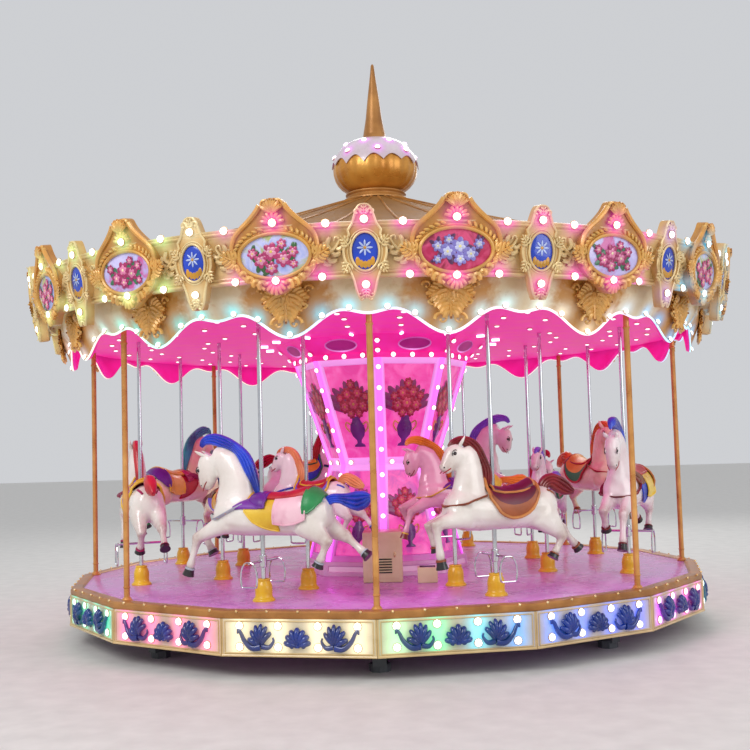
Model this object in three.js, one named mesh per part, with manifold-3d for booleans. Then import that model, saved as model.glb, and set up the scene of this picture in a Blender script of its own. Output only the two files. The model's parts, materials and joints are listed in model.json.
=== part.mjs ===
// Fairground carousel with sixteen galloping horses, built from the ground up.
// Millimetres, +Z up. The origin is on the ground under the centre, and the
// front of the machine faces -Y. Angles round the machine start at -Y and grow
// towards +X.
import * as THREE from "three";
import * as BufferGeometryUtils from "three/addons/utils/BufferGeometryUtils.js";
import Module from "manifold-3d";

const wasm = await Module();
wasm.setup();

const sectorCount = 16; // skirt panels, and pairs of crown ornaments
const bayCount = 8; // bays between posts, one pair of horses in each
const sectorAngle = (2 * Math.PI) / sectorCount;
const bayAngle = (2 * Math.PI) / bayCount;
const fitGap = 0.3; // between pieces that touch

const deckTop = 420; // height of the deck over the ground
const deckThickness = 40;
const platformRadius = 2600; // corners of the sixteen-sided skirt
const skirtDrop = 274; // bottom of the skirt below the deck
const skirtTopDrop = 40;
const skirtThickness = 30;
const rimWidth = 95;
const rimHeight = 12;

const postRadius = 21;
const postCircle = 2495; // distance of the posts from the centre
const postFootRadius = 42;
const postFootHeight = 26;

const ceilingHeight = 1912; // underside of the ceiling over the deck
const ceilingThickness = 20;
const ceilingRadius = 2545;
const beamReach = 2560;
const beamDepth = 70;
const beamWidth = 60;

const crownBottom = { radius: 2775, height: 2066 };
const crownTop = { radius: 2850, height: 2376 };
const crownThickness = 34;
const crownLip = 12; // mouldings on both edges of the band
const flangeThickness = 20;
const crownSegments = 32;
const bigCartouche = { width: 540, low: 1963, high: 2557 };
const smallCartouche = { width: 275, low: 1900, high: 2492 };
const plateFront = { radius: 2845, height: 2204 }; // middle of a cartouche's front face
const plateLean = (8 * Math.PI) / 180; // cartouches lean out less than the band
const plateDepth = 60;

const valanceTopRadius = 2655;
const valanceTop = 2086;
const valanceWaistRadius = 2640;
const valanceTipRadius = 2560;
const valanceArch = 1886; // lower edge between the drops
const valanceTip = 1722; // lower edge of a large drop
const smallDropDepth = 26;
const bigDropShare = 0.34; // half the width of a large drop, in sectors
const valanceThickness = 24;
const valanceSteps = 8; // segments of the valance in one sector

const roofEdgeHeight = 2352;
const roofTopRadius = 262;
const roofTopHeight = 3150;
const roofThickness = 14;
const roofSegments = 32;

const finialTop = 4380;

const rodRadius = 16;
const rodSides = 6;
const rodClearance = 0.6; // between a rod and the bore of its cup
const ceilingClearance = 7; // between a rod and its hole in the ceiling
const cupHeight = 150;
const stroke = 200; // travel of a horse up and down
const outerRow = { radius: 2060, scale: 1, raise: 0 };
const innerRow = { radius: 1410, scale: 0.75, raise: 50 };
const rodBottomAtLow = -230;
const rodTopAtLow = 1990;

const columnFootRadius = 650;
const columnWaistRadius = 457;
const columnTopRadius = 735;
const columnWaist = 888;
const columnShoulder = 1738;
const plinthHeight = 110;

const cream = paint(0xf1e6c8, 0.45);
const gold = paint(0xd9a441, 0.35);
const bronze = paint(0xa87438, 0.4);
const pink = paint(0xe85fb4, 0.4);
const magenta = paint(0xd8479c, 0.5);
const lilac = paint(0xd9a8dc, 0.25);
const white = paint(0xf3f0ea, 0.35);
const steel = paint(0x54575c, 0.5);
const chrome = paint(0xd9dbe0, 0.15, 1);
const ivory = paint(0xece2d2, 0.35);

const group = new THREE.Group();

/** A material of one colour. */
function paint(colour, roughness, metalness = 0) {
  return new THREE.MeshStandardMaterial({ color: colour, roughness, metalness });
}

/** The volume of a mesh, negative where its faces point in. */
function signedVolume(geometry) {
  const position = geometry.getAttribute("position");
  const index = geometry.getIndex();
  const a = new THREE.Vector3();
  const b = new THREE.Vector3();
  const c = new THREE.Vector3();
  let volume = 0;
  for (let i = 0; i < index.count; i += 3) {
    a.fromBufferAttribute(position, index.getX(i));
    b.fromBufferAttribute(position, index.getX(i + 1));
    c.fromBufferAttribute(position, index.getX(i + 2));
    volume += a.dot(b.cross(c)) / 6;
  }
  return volume;
}

/** A three.js geometry as a solid, with its faces turned outwards. */
function solidOf(geometry) {
  const bare = geometry.clone();
  bare.deleteAttribute("normal");
  bare.deleteAttribute("uv");
  const merged = BufferGeometryUtils.mergeVertices(bare, 1e-3);
  const corners = merged.getIndex().array;
  const kept = [];
  const inward = signedVolume(merged) < 0;
  for (let i = 0; i < corners.length; i += 3) {
    const [p, q, r] = [corners[i], corners[i + 1], corners[i + 2]];
    if (p === q || q === r || r === p) continue;
    kept.push(p, inward ? r : q, inward ? q : r);
  }
  const vertProperties = new Float32Array(merged.getAttribute("position").array);
  return new wasm.Manifold(
    new wasm.Mesh({ numProp: 3, vertProperties, triVerts: new Uint32Array(kept) }),
  );
}

/** A solid as a three.js geometry. */
function geometryOf(solid) {
  const mesh = solid.getMesh();
  const geometry = new THREE.BufferGeometry();
  geometry.setAttribute("position", new THREE.BufferAttribute(mesh.vertProperties, 3));
  geometry.setIndex(new THREE.BufferAttribute(mesh.triVerts, 1));
  geometry.computeVertexNormals();
  return geometry;
}

/** One solid out of several. */
function joined(solids) {
  return solids.reduce((whole, solid) => whole.add(solid));
}

/** Adds a named piece to the model. */
function addPiece(name, solid, material) {
  const mesh = new THREE.Mesh(geometryOf(solid), material);
  mesh.name = name;
  group.add(mesh);
  return mesh;
}

/** Closed profile of [radius, height] points turned round the Z axis. */
function turned(profile, segments, phase = 0) {
  const points = profile.map(([radius, height]) => new THREE.Vector2(radius, height));
  points.push(points[0].clone());
  const geometry = new THREE.LatheGeometry(points, segments, phase);
  geometry.rotateX(Math.PI / 2);
  return geometry;
}

/** Outline of [x, y] points raised along Z. */
function raised(outline, height) {
  const shape = new THREE.Shape(outline.map(([x, y]) => new THREE.Vector2(x, y)));
  return new THREE.ExtrudeGeometry(shape, { depth: height, bevelEnabled: false });
}

/** Regular polygon with a corner at the given angle, as [x, y] points. */
function polygon(radius, sides, phase = 0) {
  return Array.from({ length: sides }, (_, i) => {
    const angle = phase + (2 * Math.PI * i) / sides;
    return [radius * Math.sin(angle), -radius * Math.cos(angle)];
  });
}

/** Upright prism with a regular base. */
function prism(radius, sides, low, high, phase = 0) {
  return raised(polygon(radius, sides, phase), high - low).translate(0, 0, low);
}

/** Block from its lowest to its highest corner. */
function block(x0, y0, z0, x1, y1, z1) {
  const geometry = new THREE.BoxGeometry(x1 - x0, y1 - y0, z1 - z0);
  return geometry.translate((x0 + x1) / 2, (y0 + y1) / 2, (z0 + z1) / 2);
}

/** Octagonal frustum with corners in line with the posts. */
function octagon(lowRadius, highRadius, low, high) {
  const geometry = new THREE.CylinderGeometry(highRadius, lowRadius, high - low, bayCount);
  geometry.rotateX(Math.PI / 2);
  return geometry.translate(0, 0, (low + high) / 2);
}

/** Tapered limb between two points. */
function limb(start, end, startRadius, endRadius, sides = 6) {
  const from = new THREE.Vector3(...start);
  const to = new THREE.Vector3(...end);
  const along = to.clone().sub(from);
  const geometry = new THREE.CylinderGeometry(endRadius, startRadius, along.length(), sides);
  const up = new THREE.Vector3(0, 1, 0);
  geometry.applyQuaternion(new THREE.Quaternion().setFromUnitVectors(up, along.clone().normalize()));
  const middle = from.add(to).multiplyScalar(0.5);
  return geometry.translate(middle.x, middle.y, middle.z);
}

/** Point at a distance from the centre and an angle from the front. */
function around(radius, angle, height = 0) {
  return new THREE.Vector3(radius * Math.sin(angle), -radius * Math.cos(angle), height);
}

/** A copy of a geometry moved out to a radius and turned to an angle. */
function placedAround(geometry, radius, angle) {
  return geometry.clone().translate(0, -radius, 0).rotateZ(angle);
}

/** Angle of the middle of a bay. */
function bayMiddle(bay) {
  return (bay + 0.5) * bayAngle;
}

/** Fixed star of beams with levelling feet and the bearing pedestal. */
function addBase() {
  const beamLow = 40;
  const beamHigh = 130;
  const reach = 2300;
  const footRadius = 70;
  const parts = [solidOf(prism(300, bayCount, beamLow, 215))];
  for (let i = 0; i < bayCount; i++) {
    const beam = block(-45, -reach, beamLow, 45, 0, beamHigh).rotateZ(i * bayAngle);
    parts.push(solidOf(beam));
    const foot = prism(footRadius, 8, 0, beamLow + 10);
    parts.push(solidOf(placedAround(foot, reach - footRadius, i * bayAngle)));
  }
  parts.push(solidOf(prism(footRadius * 2, 8, 0, beamLow + 10)));
  addPiece("base_frame", joined(parts), steel);
  const bearing = turned([[170, 215 + fitGap], [270, 215 + fitGap], [270, 250], [170, 250]], 24);
  addPiece("slewing_ring", solidOf(bearing), chrome);
}

/** Rotating frame under the deck: hub, eight beams and an edge beam. */
function addTurntableFrame() {
  const low = 285;
  const high = deckTop - deckThickness - fitGap;
  const parts = [solidOf(prism(280, sectorCount, 250 + fitGap, high))];
  for (let i = 0; i < bayCount; i++) {
    const beam = block(-beamWidth / 2, -2480, low, beamWidth / 2, 0, high);
    parts.push(solidOf(beam.rotateZ(i * bayAngle)));
  }
  const edge = solidOf(prism(2500, sectorCount, low, high));
  parts.push(edge.subtract(solidOf(prism(2430, sectorCount, low - 1, high + 1))));
  addPiece("turntable_frame", joined(parts), steel);
}

/** Cup that guides a rod: flared foot, tapered body and a bore. */
function cupGeometry() {
  const profile = [
    [0, -10], [78, -10], [56, 26], [45, cupHeight], [0, cupHeight],
  ];
  const points = profile.map(([radius, height]) => new THREE.Vector2(radius, height));
  const geometry = new THREE.LatheGeometry(points, 8);
  geometry.rotateX(Math.PI / 2);
  return geometry;
}

/** Bore or rod of six sides turned to the heading of its bay. */
function rodPrism(radius, low, high, angle, rowRadius) {
  const geometry = prism(radius, rodSides, low, high, Math.PI / rodSides);
  return placedAround(geometry, rowRadius, angle);
}

/** Deck with the sixteen cups that stand on it. */
function addDeck() {
  const low = deckTop - deckThickness;
  const high = deckTop + cupHeight + 5;
  let deck = solidOf(prism(platformRadius - skirtThickness - 2, sectorCount, low, deckTop));
  const cup = cupGeometry().translate(0, 0, deckTop);
  const boreRadius = rodRadius + rodClearance / Math.cos(Math.PI / rodSides);
  for (let bay = 0; bay < bayCount; bay++) {
    for (const row of [outerRow, innerRow]) {
      const angle = bayMiddle(bay);
      const bore = rodPrism(boreRadius, low - 5, high, angle, row.radius);
      deck = deck.add(solidOf(placedAround(cup, row.radius, angle))).subtract(solidOf(bore));
    }
  }
  addPiece("deck", deck, lilac);
}

/** Trim on the edge of the deck, and the panelled skirt under it. */
function addEdge() {
  const rimLow = deckTop + fitGap;
  const rim = solidOf(prism(platformRadius, sectorCount, deckTop - skirtTopDrop + fitGap, rimLow + rimHeight));
  const inside = solidOf(prism(platformRadius - rimWidth, sectorCount, 0, deckTop + 100));
  const shelf = solidOf(prism(platformRadius - skirtThickness - 1, sectorCount, 0, rimLow));
  let trim = rim.subtract(inside).subtract(shelf);
  for (let i = 0; i < bayCount; i++) {
    const notch = prism(postFootRadius + 1, 8, 0, deckTop + 100);
    trim = trim.subtract(solidOf(placedAround(notch, postCircle, i * bayAngle)));
  }
  addPiece("deck_rim", trim, bronze);
  const low = deckTop - skirtDrop;
  const high = deckTop - skirtTopDrop;
  const outer = solidOf(prism(platformRadius, sectorCount, low, high));
  const inner = solidOf(prism(platformRadius - skirtThickness, sectorCount, low - 1, high + 1));
  const frame = solidOf(prism(platformRadius - skirtThickness + 10, sectorCount, high - 60, high - 6));
  const hole = solidOf(prism(2500 + fitGap, sectorCount, low - 1, high + 1));
  addPiece("skirt", outer.subtract(inner).add(frame.subtract(hole)), white);
}

/** Gilded post with a round foot. */
function addPosts() {
  for (let i = 0; i < bayCount; i++) {
    const foot = prism(postFootRadius, 8, deckTop + fitGap, deckTop + postFootHeight);
    const shaft = prism(postRadius, 8, deckTop + fitGap, deckTop + ceilingHeight - fitGap);
    const post = joined([foot, shaft].map(solidOf));
    const mesh = addPiece(`post_${i + 1}`, post, gold);
    mesh.position.copy(around(postCircle, i * bayAngle));
  }
}

/** Centre column: plinth, two tapered tiers and the flared cornice. */
function addColumn() {
  const waist = deckTop + columnWaist;
  const shoulder = deckTop + columnShoulder;
  const plinthTop = deckTop + plinthHeight;
  addPiece("column_plinth", solidOf(octagon(700, 680, deckTop + fitGap, plinthTop)), cream);
  const lower = octagon(columnFootRadius, columnWaistRadius, plinthTop + fitGap, waist);
  addPiece("column_lower", solidOf(lower), pink);
  const upper = octagon(columnWaistRadius, columnTopRadius, waist + fitGap, shoulder);
  addPiece("column_upper", solidOf(upper), pink);
  const band = solidOf(octagon(770, 770, shoulder + fitGap, shoulder + 40));
  const flare = solidOf(octagon(760, 905, shoulder + 40, deckTop + ceilingHeight - fitGap));
  addPiece("column_cornice", band.add(flare), magenta);
  const cabinet = block(-150, -1040, deckTop + fitGap, 150, -701, deckTop + 380);
  addPiece("control_cabinet", solidOf(cabinet), cream);
  const step = block(262, -1130, deckTop + fitGap, 412, -980, deckTop + 115);
  addPiece("mounting_step", solidOf(step), cream);
}

/** Ceiling panel with a hole for every rod, and the frame above it. */
function addCanopyFrame() {
  const low = deckTop + ceilingHeight;
  const high = low + ceilingThickness;
  let ceiling = solidOf(prism(ceilingRadius, crownSegments, low, high));
  for (let bay = 0; bay < bayCount; bay++) {
    for (const row of [outerRow, innerRow]) {
      const hole = rodPrism(rodRadius + ceilingClearance, low - 5, high + 5, bayMiddle(bay), row.radius);
      ceiling = ceiling.subtract(solidOf(hole));
    }
  }
  addPiece("ceiling", ceiling, magenta);
  const beamLow = high + fitGap;
  const beamHigh = beamLow + beamDepth;
  const ringWidth = 80;
  const outer = solidOf(prism(postCircle + ringWidth / 2, bayCount, beamLow, beamHigh));
  const inner = solidOf(prism(postCircle - ringWidth / 2, bayCount, beamLow - 1, beamHigh + 1));
  const parts = [outer.subtract(inner)];
  const bracketHigh = deckTop + valanceTop;
  const mastTop = deckTop + roofTopHeight;
  parts.push(solidOf(prism(150, bayCount, beamLow, mastTop)));
  for (let i = 0; i < bayCount; i++) {
    const outline = [
      [0, beamLow], [beamReach, beamLow], [beamReach, bracketHigh], [beamReach - 55, bracketHigh],
      [beamReach - 55, beamHigh], [0, beamHigh],
    ];
    const beam = sideView(outline, beamWidth).rotateZ(i * bayAngle - Math.PI / 2);
    parts.push(solidOf(beam));
  }
  addPiece("canopy_frame", joined(parts), steel);
}

/** Outline of half an ornament mirrored into a whole, as [x, y] points. */
function mirrored(half) {
  const left = half.map(([x, y]) => [-x, y]).reverse();
  const inner = left.filter(([x]) => x !== 0);
  return [...half, ...inner];
}

/** Outline of a large cartouche: broad oval with a crest and a pendant. */
function bigOutline() {
  const { width, low, high } = bigCartouche;
  const w = width / 2;
  const h = high - low;
  return mirrored([
    [0, low], [0.35 * w, low + 0.1 * h], [0.85 * w, low + 0.2 * h], [w, low + 0.42 * h],
    [0.75 * w, low + 0.72 * h], [0.4 * w, low + 0.86 * h], [0.22 * w, high],
  ]);
}

/** Outline of a small cartouche: slim shield with pointed ends. */
function smallOutline() {
  const { width, low, high } = smallCartouche;
  const w = width / 2;
  const h = high - low;
  return mirrored([
    [0.2 * w, low], [0.45 * w, low + 0.24 * h], [w, low + 0.5 * h],
    [0.7 * w, low + 0.82 * h], [0.2 * w, high],
  ]);
}

/** Cartouche plate that crosses the band of the crown and leans out. */
function ornament(outline) {
  const plate = raised(outline, plateDepth).translate(0, -plateFront.height, -plateDepth);
  plate.rotateX(Math.PI / 2 + plateLean);
  return plate.translate(0, -plateFront.radius, deckTop + plateFront.height);
}

/** Crown: a leaning band with a foot flange and two kinds of cartouche. */
function addCrown() {
  const b = crownBottom;
  const t = crownTop;
  const flangeLow = valanceTop + fitGap;
  const flangeHigh = flangeLow + flangeThickness;
  const top = t.height + crownLip;
  const spare = 15; // stock on the inner side that the hollow takes away
  const inner = b.radius - crownThickness;
  const profile = [
    [beamReach - 55, flangeLow], [inner, flangeLow], [inner, b.height - crownLip],
    [b.radius + crownLip, b.height - crownLip], [t.radius + crownLip, top],
    [crownInside(top) - spare, top], [inner - spare, flangeHigh + spare],
    [beamReach - 55, flangeHigh + spare],
  ].map(([radius, height]) => [radius, height + deckTop]);
  let crown = solidOf(turned(profile, crownSegments));
  const big = ornament(bigOutline());
  const small = ornament(smallOutline());
  for (let i = 0; i < sectorCount; i++) {
    crown = crown.add(solidOf(small.clone().rotateZ(i * sectorAngle)));
    crown = crown.add(solidOf(big.clone().rotateZ((i + 0.5) * sectorAngle)));
  }
  const hollow = [
    [0, flangeHigh], [crownInside(flangeHigh), flangeHigh], [crownInside(top + 1), top + 1],
    [0, top + 1],
  ].map(([radius, height]) => [radius, height + deckTop]);
  addPiece("crown", crown.subtract(solidOf(domed(hollow, crownSegments))), cream);
}

/** Height of the scalloped lower edge at a place in a sector, 0 to 1. */
function scallop(share) {
  const fromDrop = Math.abs(share - 0.5);
  if (fromDrop < bigDropShare) {
    const swell = 0.5 * (1 + Math.cos((Math.PI * fromDrop) / bigDropShare));
    return valanceArch - (valanceArch - valanceTip) * swell;
  }
  const inDrop = (fromDrop - bigDropShare) / (0.5 - bigDropShare);
  return valanceArch - smallDropDepth * 0.5 * (1 - Math.cos(Math.PI * inDrop));
}

/** Scalloped valance that hangs inside the crown and leans in to its tips. */
function addValance() {
  const levels = [
    [valanceTopRadius, 0], [valanceWaistRadius, 0.45], [valanceTipRadius, 1],
  ];
  const inside = levels.map(([radius, drop]) => [radius - valanceThickness, drop]).reverse();
  const profile = [...levels, ...inside];
  const geometry = turned(profile, sectorCount * valanceSteps);
  const position = geometry.getAttribute("position");
  for (let i = 0; i < position.count; i++) {
    const x = position.getX(i);
    const y = position.getY(i);
    const turn = Math.atan2(x, -y) / sectorAngle;
    const share = ((turn % 1) + 1) % 1;
    const low = scallop(share);
    const drop = position.getZ(i);
    position.setZ(i, deckTop + valanceTop - drop * (valanceTop - low));
  }
  addPiece("valance", solidOf(geometry), cream);
}

/** Radius of the crown's inner face at a height over the deck. */
function crownInside(height) {
  const flangeHigh = valanceTop + fitGap + flangeThickness;
  const low = { radius: crownBottom.radius - crownThickness, height: flangeHigh };
  const high = { radius: crownTop.radius - crownThickness, height: crownTop.height + crownLip };
  const share = (height - low.height) / (high.height - low.height);
  return low.radius + share * (high.radius - low.radius);
}

/** Roof: a thin cone with a gentle hollow, its edge against the crown. */
function addRoof() {
  const roofEdgeRadius = crownInside(roofEdgeHeight) - 1.3 * fitGap;
  const middleRadius = (roofEdgeRadius + roofTopRadius) / 2;
  const middleHeight = (roofEdgeHeight + roofTopHeight) / 2 - 30;
  const outer = [
    [roofEdgeRadius, roofEdgeHeight], [middleRadius, middleHeight], [roofTopRadius, roofTopHeight],
  ];
  const inner = outer.map(([radius, height]) => [radius - 6, height - roofThickness]).reverse();
  const profile = [...outer, ...inner].map(([radius, height]) => [radius, height + deckTop]);
  addPiece("roof", solidOf(turned(profile, roofSegments)), bronze);
}

/** Finial: stepped collar, ball with a white cap, and a spire. */
function addFinial() {
  const h = deckTop;
  const collarLow = h + roofTopHeight + fitGap;
  const collarHigh = h + 3225;
  const ballHigh = h + 3695;
  const collar = [
    [0, collarLow], [285, collarLow], [285, h + 3175], [250, h + 3190], [262, collarHigh], [0, collarHigh],
  ];
  addPiece("finial_collar", solidOf(domed(collar, 24)), bronze);
  const ball = [
    [0, collarHigh + fitGap], [205, collarHigh + fitGap], [300, h + 3275], [352, h + 3350],
    [366, h + 3430], [350, h + 3515], [295, h + 3600], [190, h + 3670], [110, ballHigh], [0, ballHigh],
  ];
  addPiece("finial_ball", solidOf(domed(ball, 24)), gold);
  const spire = [
    [0, ballHigh + fitGap], [112, ballHigh + fitGap], [86, h + 3800], [70, h + 3900],
    [55, h + 4030], [36, h + 4180], [14, h + finialTop], [0, h + finialTop],
  ];
  addPiece("finial_spire", solidOf(domed(spire, 16)), bronze);
}

/** Profile that starts and ends on the axis, turned round Z. */
function domed(profile, segments) {
  const points = profile.map(([radius, height]) => new THREE.Vector2(radius, height));
  const geometry = new THREE.LatheGeometry(points, segments);
  geometry.rotateX(Math.PI / 2);
  return geometry;
}

const legSpread = 68; // from the middle of the horse to a leg
const legThickness = 56;
const trunkHeight = 566;

// A horse faces +X with its rod on the Z axis, heights over the deck.
const prancing = {
  neck: [[215, 0, 610], [335, 0, 950]],
  head: [[345, 0, 975], [480, 0, 790]],
  mane: [
    [30, 700], [32, 814], [70, 952], [153, 1054], [293, 1116], [436, 1122], [482, 1063],
    [330, 1030], [190, 900], [160, 670],
  ],
  tail: [
    [-400, 580], [-540, 705], [-700, 738], [-790, 728], [-815, 679], [-717, 612], [-560, 625],
  ],
  legs: [
    { side: 1, joints: [[240, 530], [465, 420], [560, 180]] },
    { side: -1, joints: [[240, 530], [520, 440], [440, 300]] },
    { side: 1, joints: [[-330, 520], [-520, 400], [-450, 250]] },
    { side: -1, joints: [[-330, 520], [-590, 430], [-745, 330]] },
  ],
};
const jumping = {
  neck: [[205, 0, 620], [285, 0, 945]],
  head: [[265, 0, 970], [375, 0, 852]],
  mane: [
    [70, 656], [30, 735], [32, 835], [72, 954], [156, 1038], [275, 1050], [316, 1006],
    [190, 975], [130, 880], [120, 680],
  ],
  tail: [
    [-390, 600], [-450, 780], [-540, 780], [-640, 640], [-500, 670],
  ],
  legs: [
    { side: 1, joints: [[220, 530], [435, 430], [405, 200]] },
    { side: -1, joints: [[220, 540], [440, 480], [400, 300]] },
    { side: 1, joints: [[-320, 510], [-490, 370], [-400, 245]] },
    { side: -1, joints: [[-320, 510], [-580, 400], [-710, 275]] },
  ],
};

/** Trunk of a horse: an eight-sided spindle along X. */
function trunk() {
  const stations = [
    [0, -490], [108, -440], [142, -320], [122, -100], [145, 220], [100, 335], [0, 370],
  ];
  const points = stations.map(([radius, along]) => new THREE.Vector2(radius, along));
  const geometry = new THREE.LatheGeometry(points, 8, Math.PI / 8);
  geometry.rotateZ(-Math.PI / 2);
  return geometry.translate(0, 0, trunkHeight);
}

/** Flat side view raised across the horse and centred on it. */
function sideView(outline, thickness) {
  return raised(outline, thickness).rotateX(Math.PI / 2).translate(0, thickness / 2, 0);
}

/** Saddle: a low block across the back behind the rod. */
function saddle() {
  const outline = [
    [-330, 600], [-310, 740], [-200, 676], [-70, 676], [20, 730], [40, 600],
  ];
  return sideView(outline, 190);
}

/** Leg as a plate: hip, knee and hoof, widest at the hip. */
function legPlate(side, joints) {
  const widths = [58, 34, 30];
  const front = [];
  const back = [];
  joints.forEach(([x, z], i) => {
    const before = joints[Math.max(i - 1, 0)];
    const after = joints[Math.min(i + 1, joints.length - 1)];
    const along = Math.atan2(after[1] - before[1], after[0] - before[0]);
    const across = [-Math.sin(along) * widths[i], Math.cos(along) * widths[i]];
    front.push([x + across[0], z + across[1]]);
    back.unshift([x - across[0], z - across[1]]);
  });
  return sideView([...front, ...back], legThickness).translate(0, side * legSpread, 0);
}

/** Whole horse in one solid, before its bore. */
function horseSolid(pose) {
  const parts = [trunk(), saddle(), sideView(pose.mane, 56), sideView(pose.tail, 70)];
  parts.push(limb(pose.neck[0], pose.neck[1], 128, 82, 6));
  parts.push(limb(pose.head[0], pose.head[1], 78, 46, 5));
  for (const leg of pose.legs) {
    parts.push(legPlate(leg.side, leg.joints));
  }
  return joined(parts.map(solidOf));
}

/** Rod with its footrest: a cross bar and two hanging stirrups. */
function rodSolid(row, lift) {
  const low = deckTop + rodBottomAtLow + lift;
  const high = deckTop + rodTopAtLow + lift;
  const parts = [solidOf(prism(rodRadius, rodSides, low, high, Math.PI / rodSides))];
  const reach = 190 * row.scale;
  const bar = deckTop + row.raise + lift + 262;
  parts.push(solidOf(block(-9, -reach, bar - 9, 9, reach, bar + 9)));
  for (const side of [-1, 1]) {
    const middle = side * reach;
    const outside = block(-60, middle - 7, bar - 165, 60, middle + 7, bar + 10);
    const inside = block(-46, middle - 8, bar - 151, 46, middle + 8, bar - 4);
    parts.push(solidOf(outside).subtract(solidOf(inside)));
  }
  return joined(parts);
}

/** Lift of the outer horse in a bay: a wave that is low at the front. */
function outerLift(angle) {
  return (stroke / 2) * (1 - Math.cos(angle));
}

/** Horses and rods: outer and inner row, cranked half a turn apart. */
function addHorses() {
  const solids = [horseSolid(prancing), horseSolid(jumping)];
  let number = 0;
  for (const row of [outerRow, innerRow]) {
    for (let bay = 0; bay < bayCount; bay++) {
      number += 1;
      const angle = bayMiddle(bay);
      const lift = row === outerRow ? outerLift(angle) : stroke - outerLift(angle);
      const name = String(number).padStart(2, "0");
      const shape = geometryOf(solids[(bay + (row === outerRow ? 1 : 0)) % 2]);
      shape.scale(row.scale, row.scale, row.scale);
      shape.translate(0, 0, deckTop + row.raise + lift);
      const boreRadius = rodRadius + fitGap / Math.cos(Math.PI / rodSides);
      const bore = prism(boreRadius, rodSides, 0, 3000, Math.PI / rodSides);
      const horse = addPiece(`horse_${name}`, solidOf(shape).subtract(solidOf(bore)), ivory);
      const rod = addPiece(`rod_${name}`, rodSolid(row, lift), chrome);
      for (const piece of [horse, rod]) {
        piece.position.copy(around(row.radius, angle));
        piece.rotation.z = Math.PI + angle;
      }
    }
  }
}

addBase();
addTurntableFrame();
addDeck();
addEdge();
addPosts();
addColumn();
addCanopyFrame();
addCrown();
addValance();
addRoof();
addFinial();
addHorses();

export default group;
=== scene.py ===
import json
import math
import random

import bmesh
import bpy
import numpy as np
from mathutils import Matrix, Vector
from mathutils.bvhtree import BVHTree
from mathutils.kdtree import KDTree


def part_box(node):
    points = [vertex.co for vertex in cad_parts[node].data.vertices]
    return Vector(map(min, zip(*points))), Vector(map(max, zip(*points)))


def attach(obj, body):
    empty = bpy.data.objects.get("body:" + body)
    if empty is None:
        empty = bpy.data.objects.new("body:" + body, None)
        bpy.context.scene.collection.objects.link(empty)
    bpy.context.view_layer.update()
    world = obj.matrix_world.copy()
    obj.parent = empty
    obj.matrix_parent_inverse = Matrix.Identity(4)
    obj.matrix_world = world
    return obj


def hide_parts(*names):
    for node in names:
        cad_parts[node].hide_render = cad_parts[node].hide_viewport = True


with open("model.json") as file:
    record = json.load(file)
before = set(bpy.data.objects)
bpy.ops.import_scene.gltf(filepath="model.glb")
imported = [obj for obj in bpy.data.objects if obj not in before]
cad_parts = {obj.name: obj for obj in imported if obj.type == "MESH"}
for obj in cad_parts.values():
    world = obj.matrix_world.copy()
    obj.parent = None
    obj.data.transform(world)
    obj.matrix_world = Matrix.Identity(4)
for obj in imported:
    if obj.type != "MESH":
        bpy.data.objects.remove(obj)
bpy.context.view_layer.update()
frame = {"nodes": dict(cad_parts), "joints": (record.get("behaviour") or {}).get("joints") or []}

# sizes that every piece shares, from the frame
sectors = 16
bays = 8
sectorTurn = 2 * math.pi / sectors
bayTurn = 2 * math.pi / bays
deckTop = round(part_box("column_plinth")[0].z, 3)
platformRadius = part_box("skirt")[1].x
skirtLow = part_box("skirt")[0].z
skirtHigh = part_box("skirt")[1].z
postCircle = -(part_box("post_1")[0].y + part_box("post_1")[1].y) / 2
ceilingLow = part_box("ceiling")[0].z
flatSide = math.cos(sectorTurn / 2)  # middle of a platform side, as a share of its corner
fullTurn = 2 * math.pi
lampDepth = 0.02  # from the back of a lamp to the middle of its dome
still = Matrix.Identity(4)

# lamp colours round the machine: degrees from the front, then the colour
lampRings = {
    "crown": [(-180, "#ffe9b0"), (-60, "#e4ffae"), (-26, "#c8ffa8"), (-15, "#f838d0"), (32, "#f834d4"),
              (42, "#f840dc"), (48, "#38c8ff"), (90, "#7fe0ff"), (140, "#ffe0a0"), (180, "#ffe9b0")],
    "valance": [(-180, "#fff0cc"), (-60, "#ffe2e8"), (-40, "#58e6dc"), (-8, "#5fd8ff"), (22, "#cdf6ff"),
                (34, "#fff0d0"), (50, "#48b8ff"), (90, "#7fd0ff"), (180, "#fff0cc")],
    "skirt": [(-180, "#ff9ad0"), (-68, "#fff4e0"), (-67, "#43e0b8"), (-45.1, "#43e0b8"), (-45, "#ff5fb8"),
              (-22.6, "#ff7fb0"), (-22.5, "#fff2c8"), (0, "#fff2c8"), (0.1, "#c8ffc8"), (9, "#5ff0b0"),
              (15, "#5fd8ff"), (22, "#4f8fff"), (34, "#4a78ff"), (45, "#5a70ff"), (45.1, "#d05aff"),
              (67, "#ff5fd0"), (67.1, "#7fffd8"), (110, "#ffd890"), (150, "#7fd0ff"), (180, "#ff9ad0")],
}
lamps = []  # every bulb that throws colour on the piece behind it: place and colour


def toLinear(code):
    channels = [int(code[i:i + 2], 16) / 255 for i in (1, 3, 5)]
    bent = [c / 12.92 if c <= 0.04045 else ((c + 0.055) / 1.055) ** 2.4 for c in channels]
    return (*bent, 1.0)


def lampColour(ring, angle):
    # colour of a ring of lamps at an angle from the front
    degrees = (math.degrees(angle) + 180) % 360 - 180
    stops = lampRings[ring]
    for (low, first), (high, second) in zip(stops, stops[1:]):
        if degrees <= high:
            share = (degrees - low) / (high - low)
            return [a + (b - a) * share for a, b in zip(toLinear(first), toLinear(second))]


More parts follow.
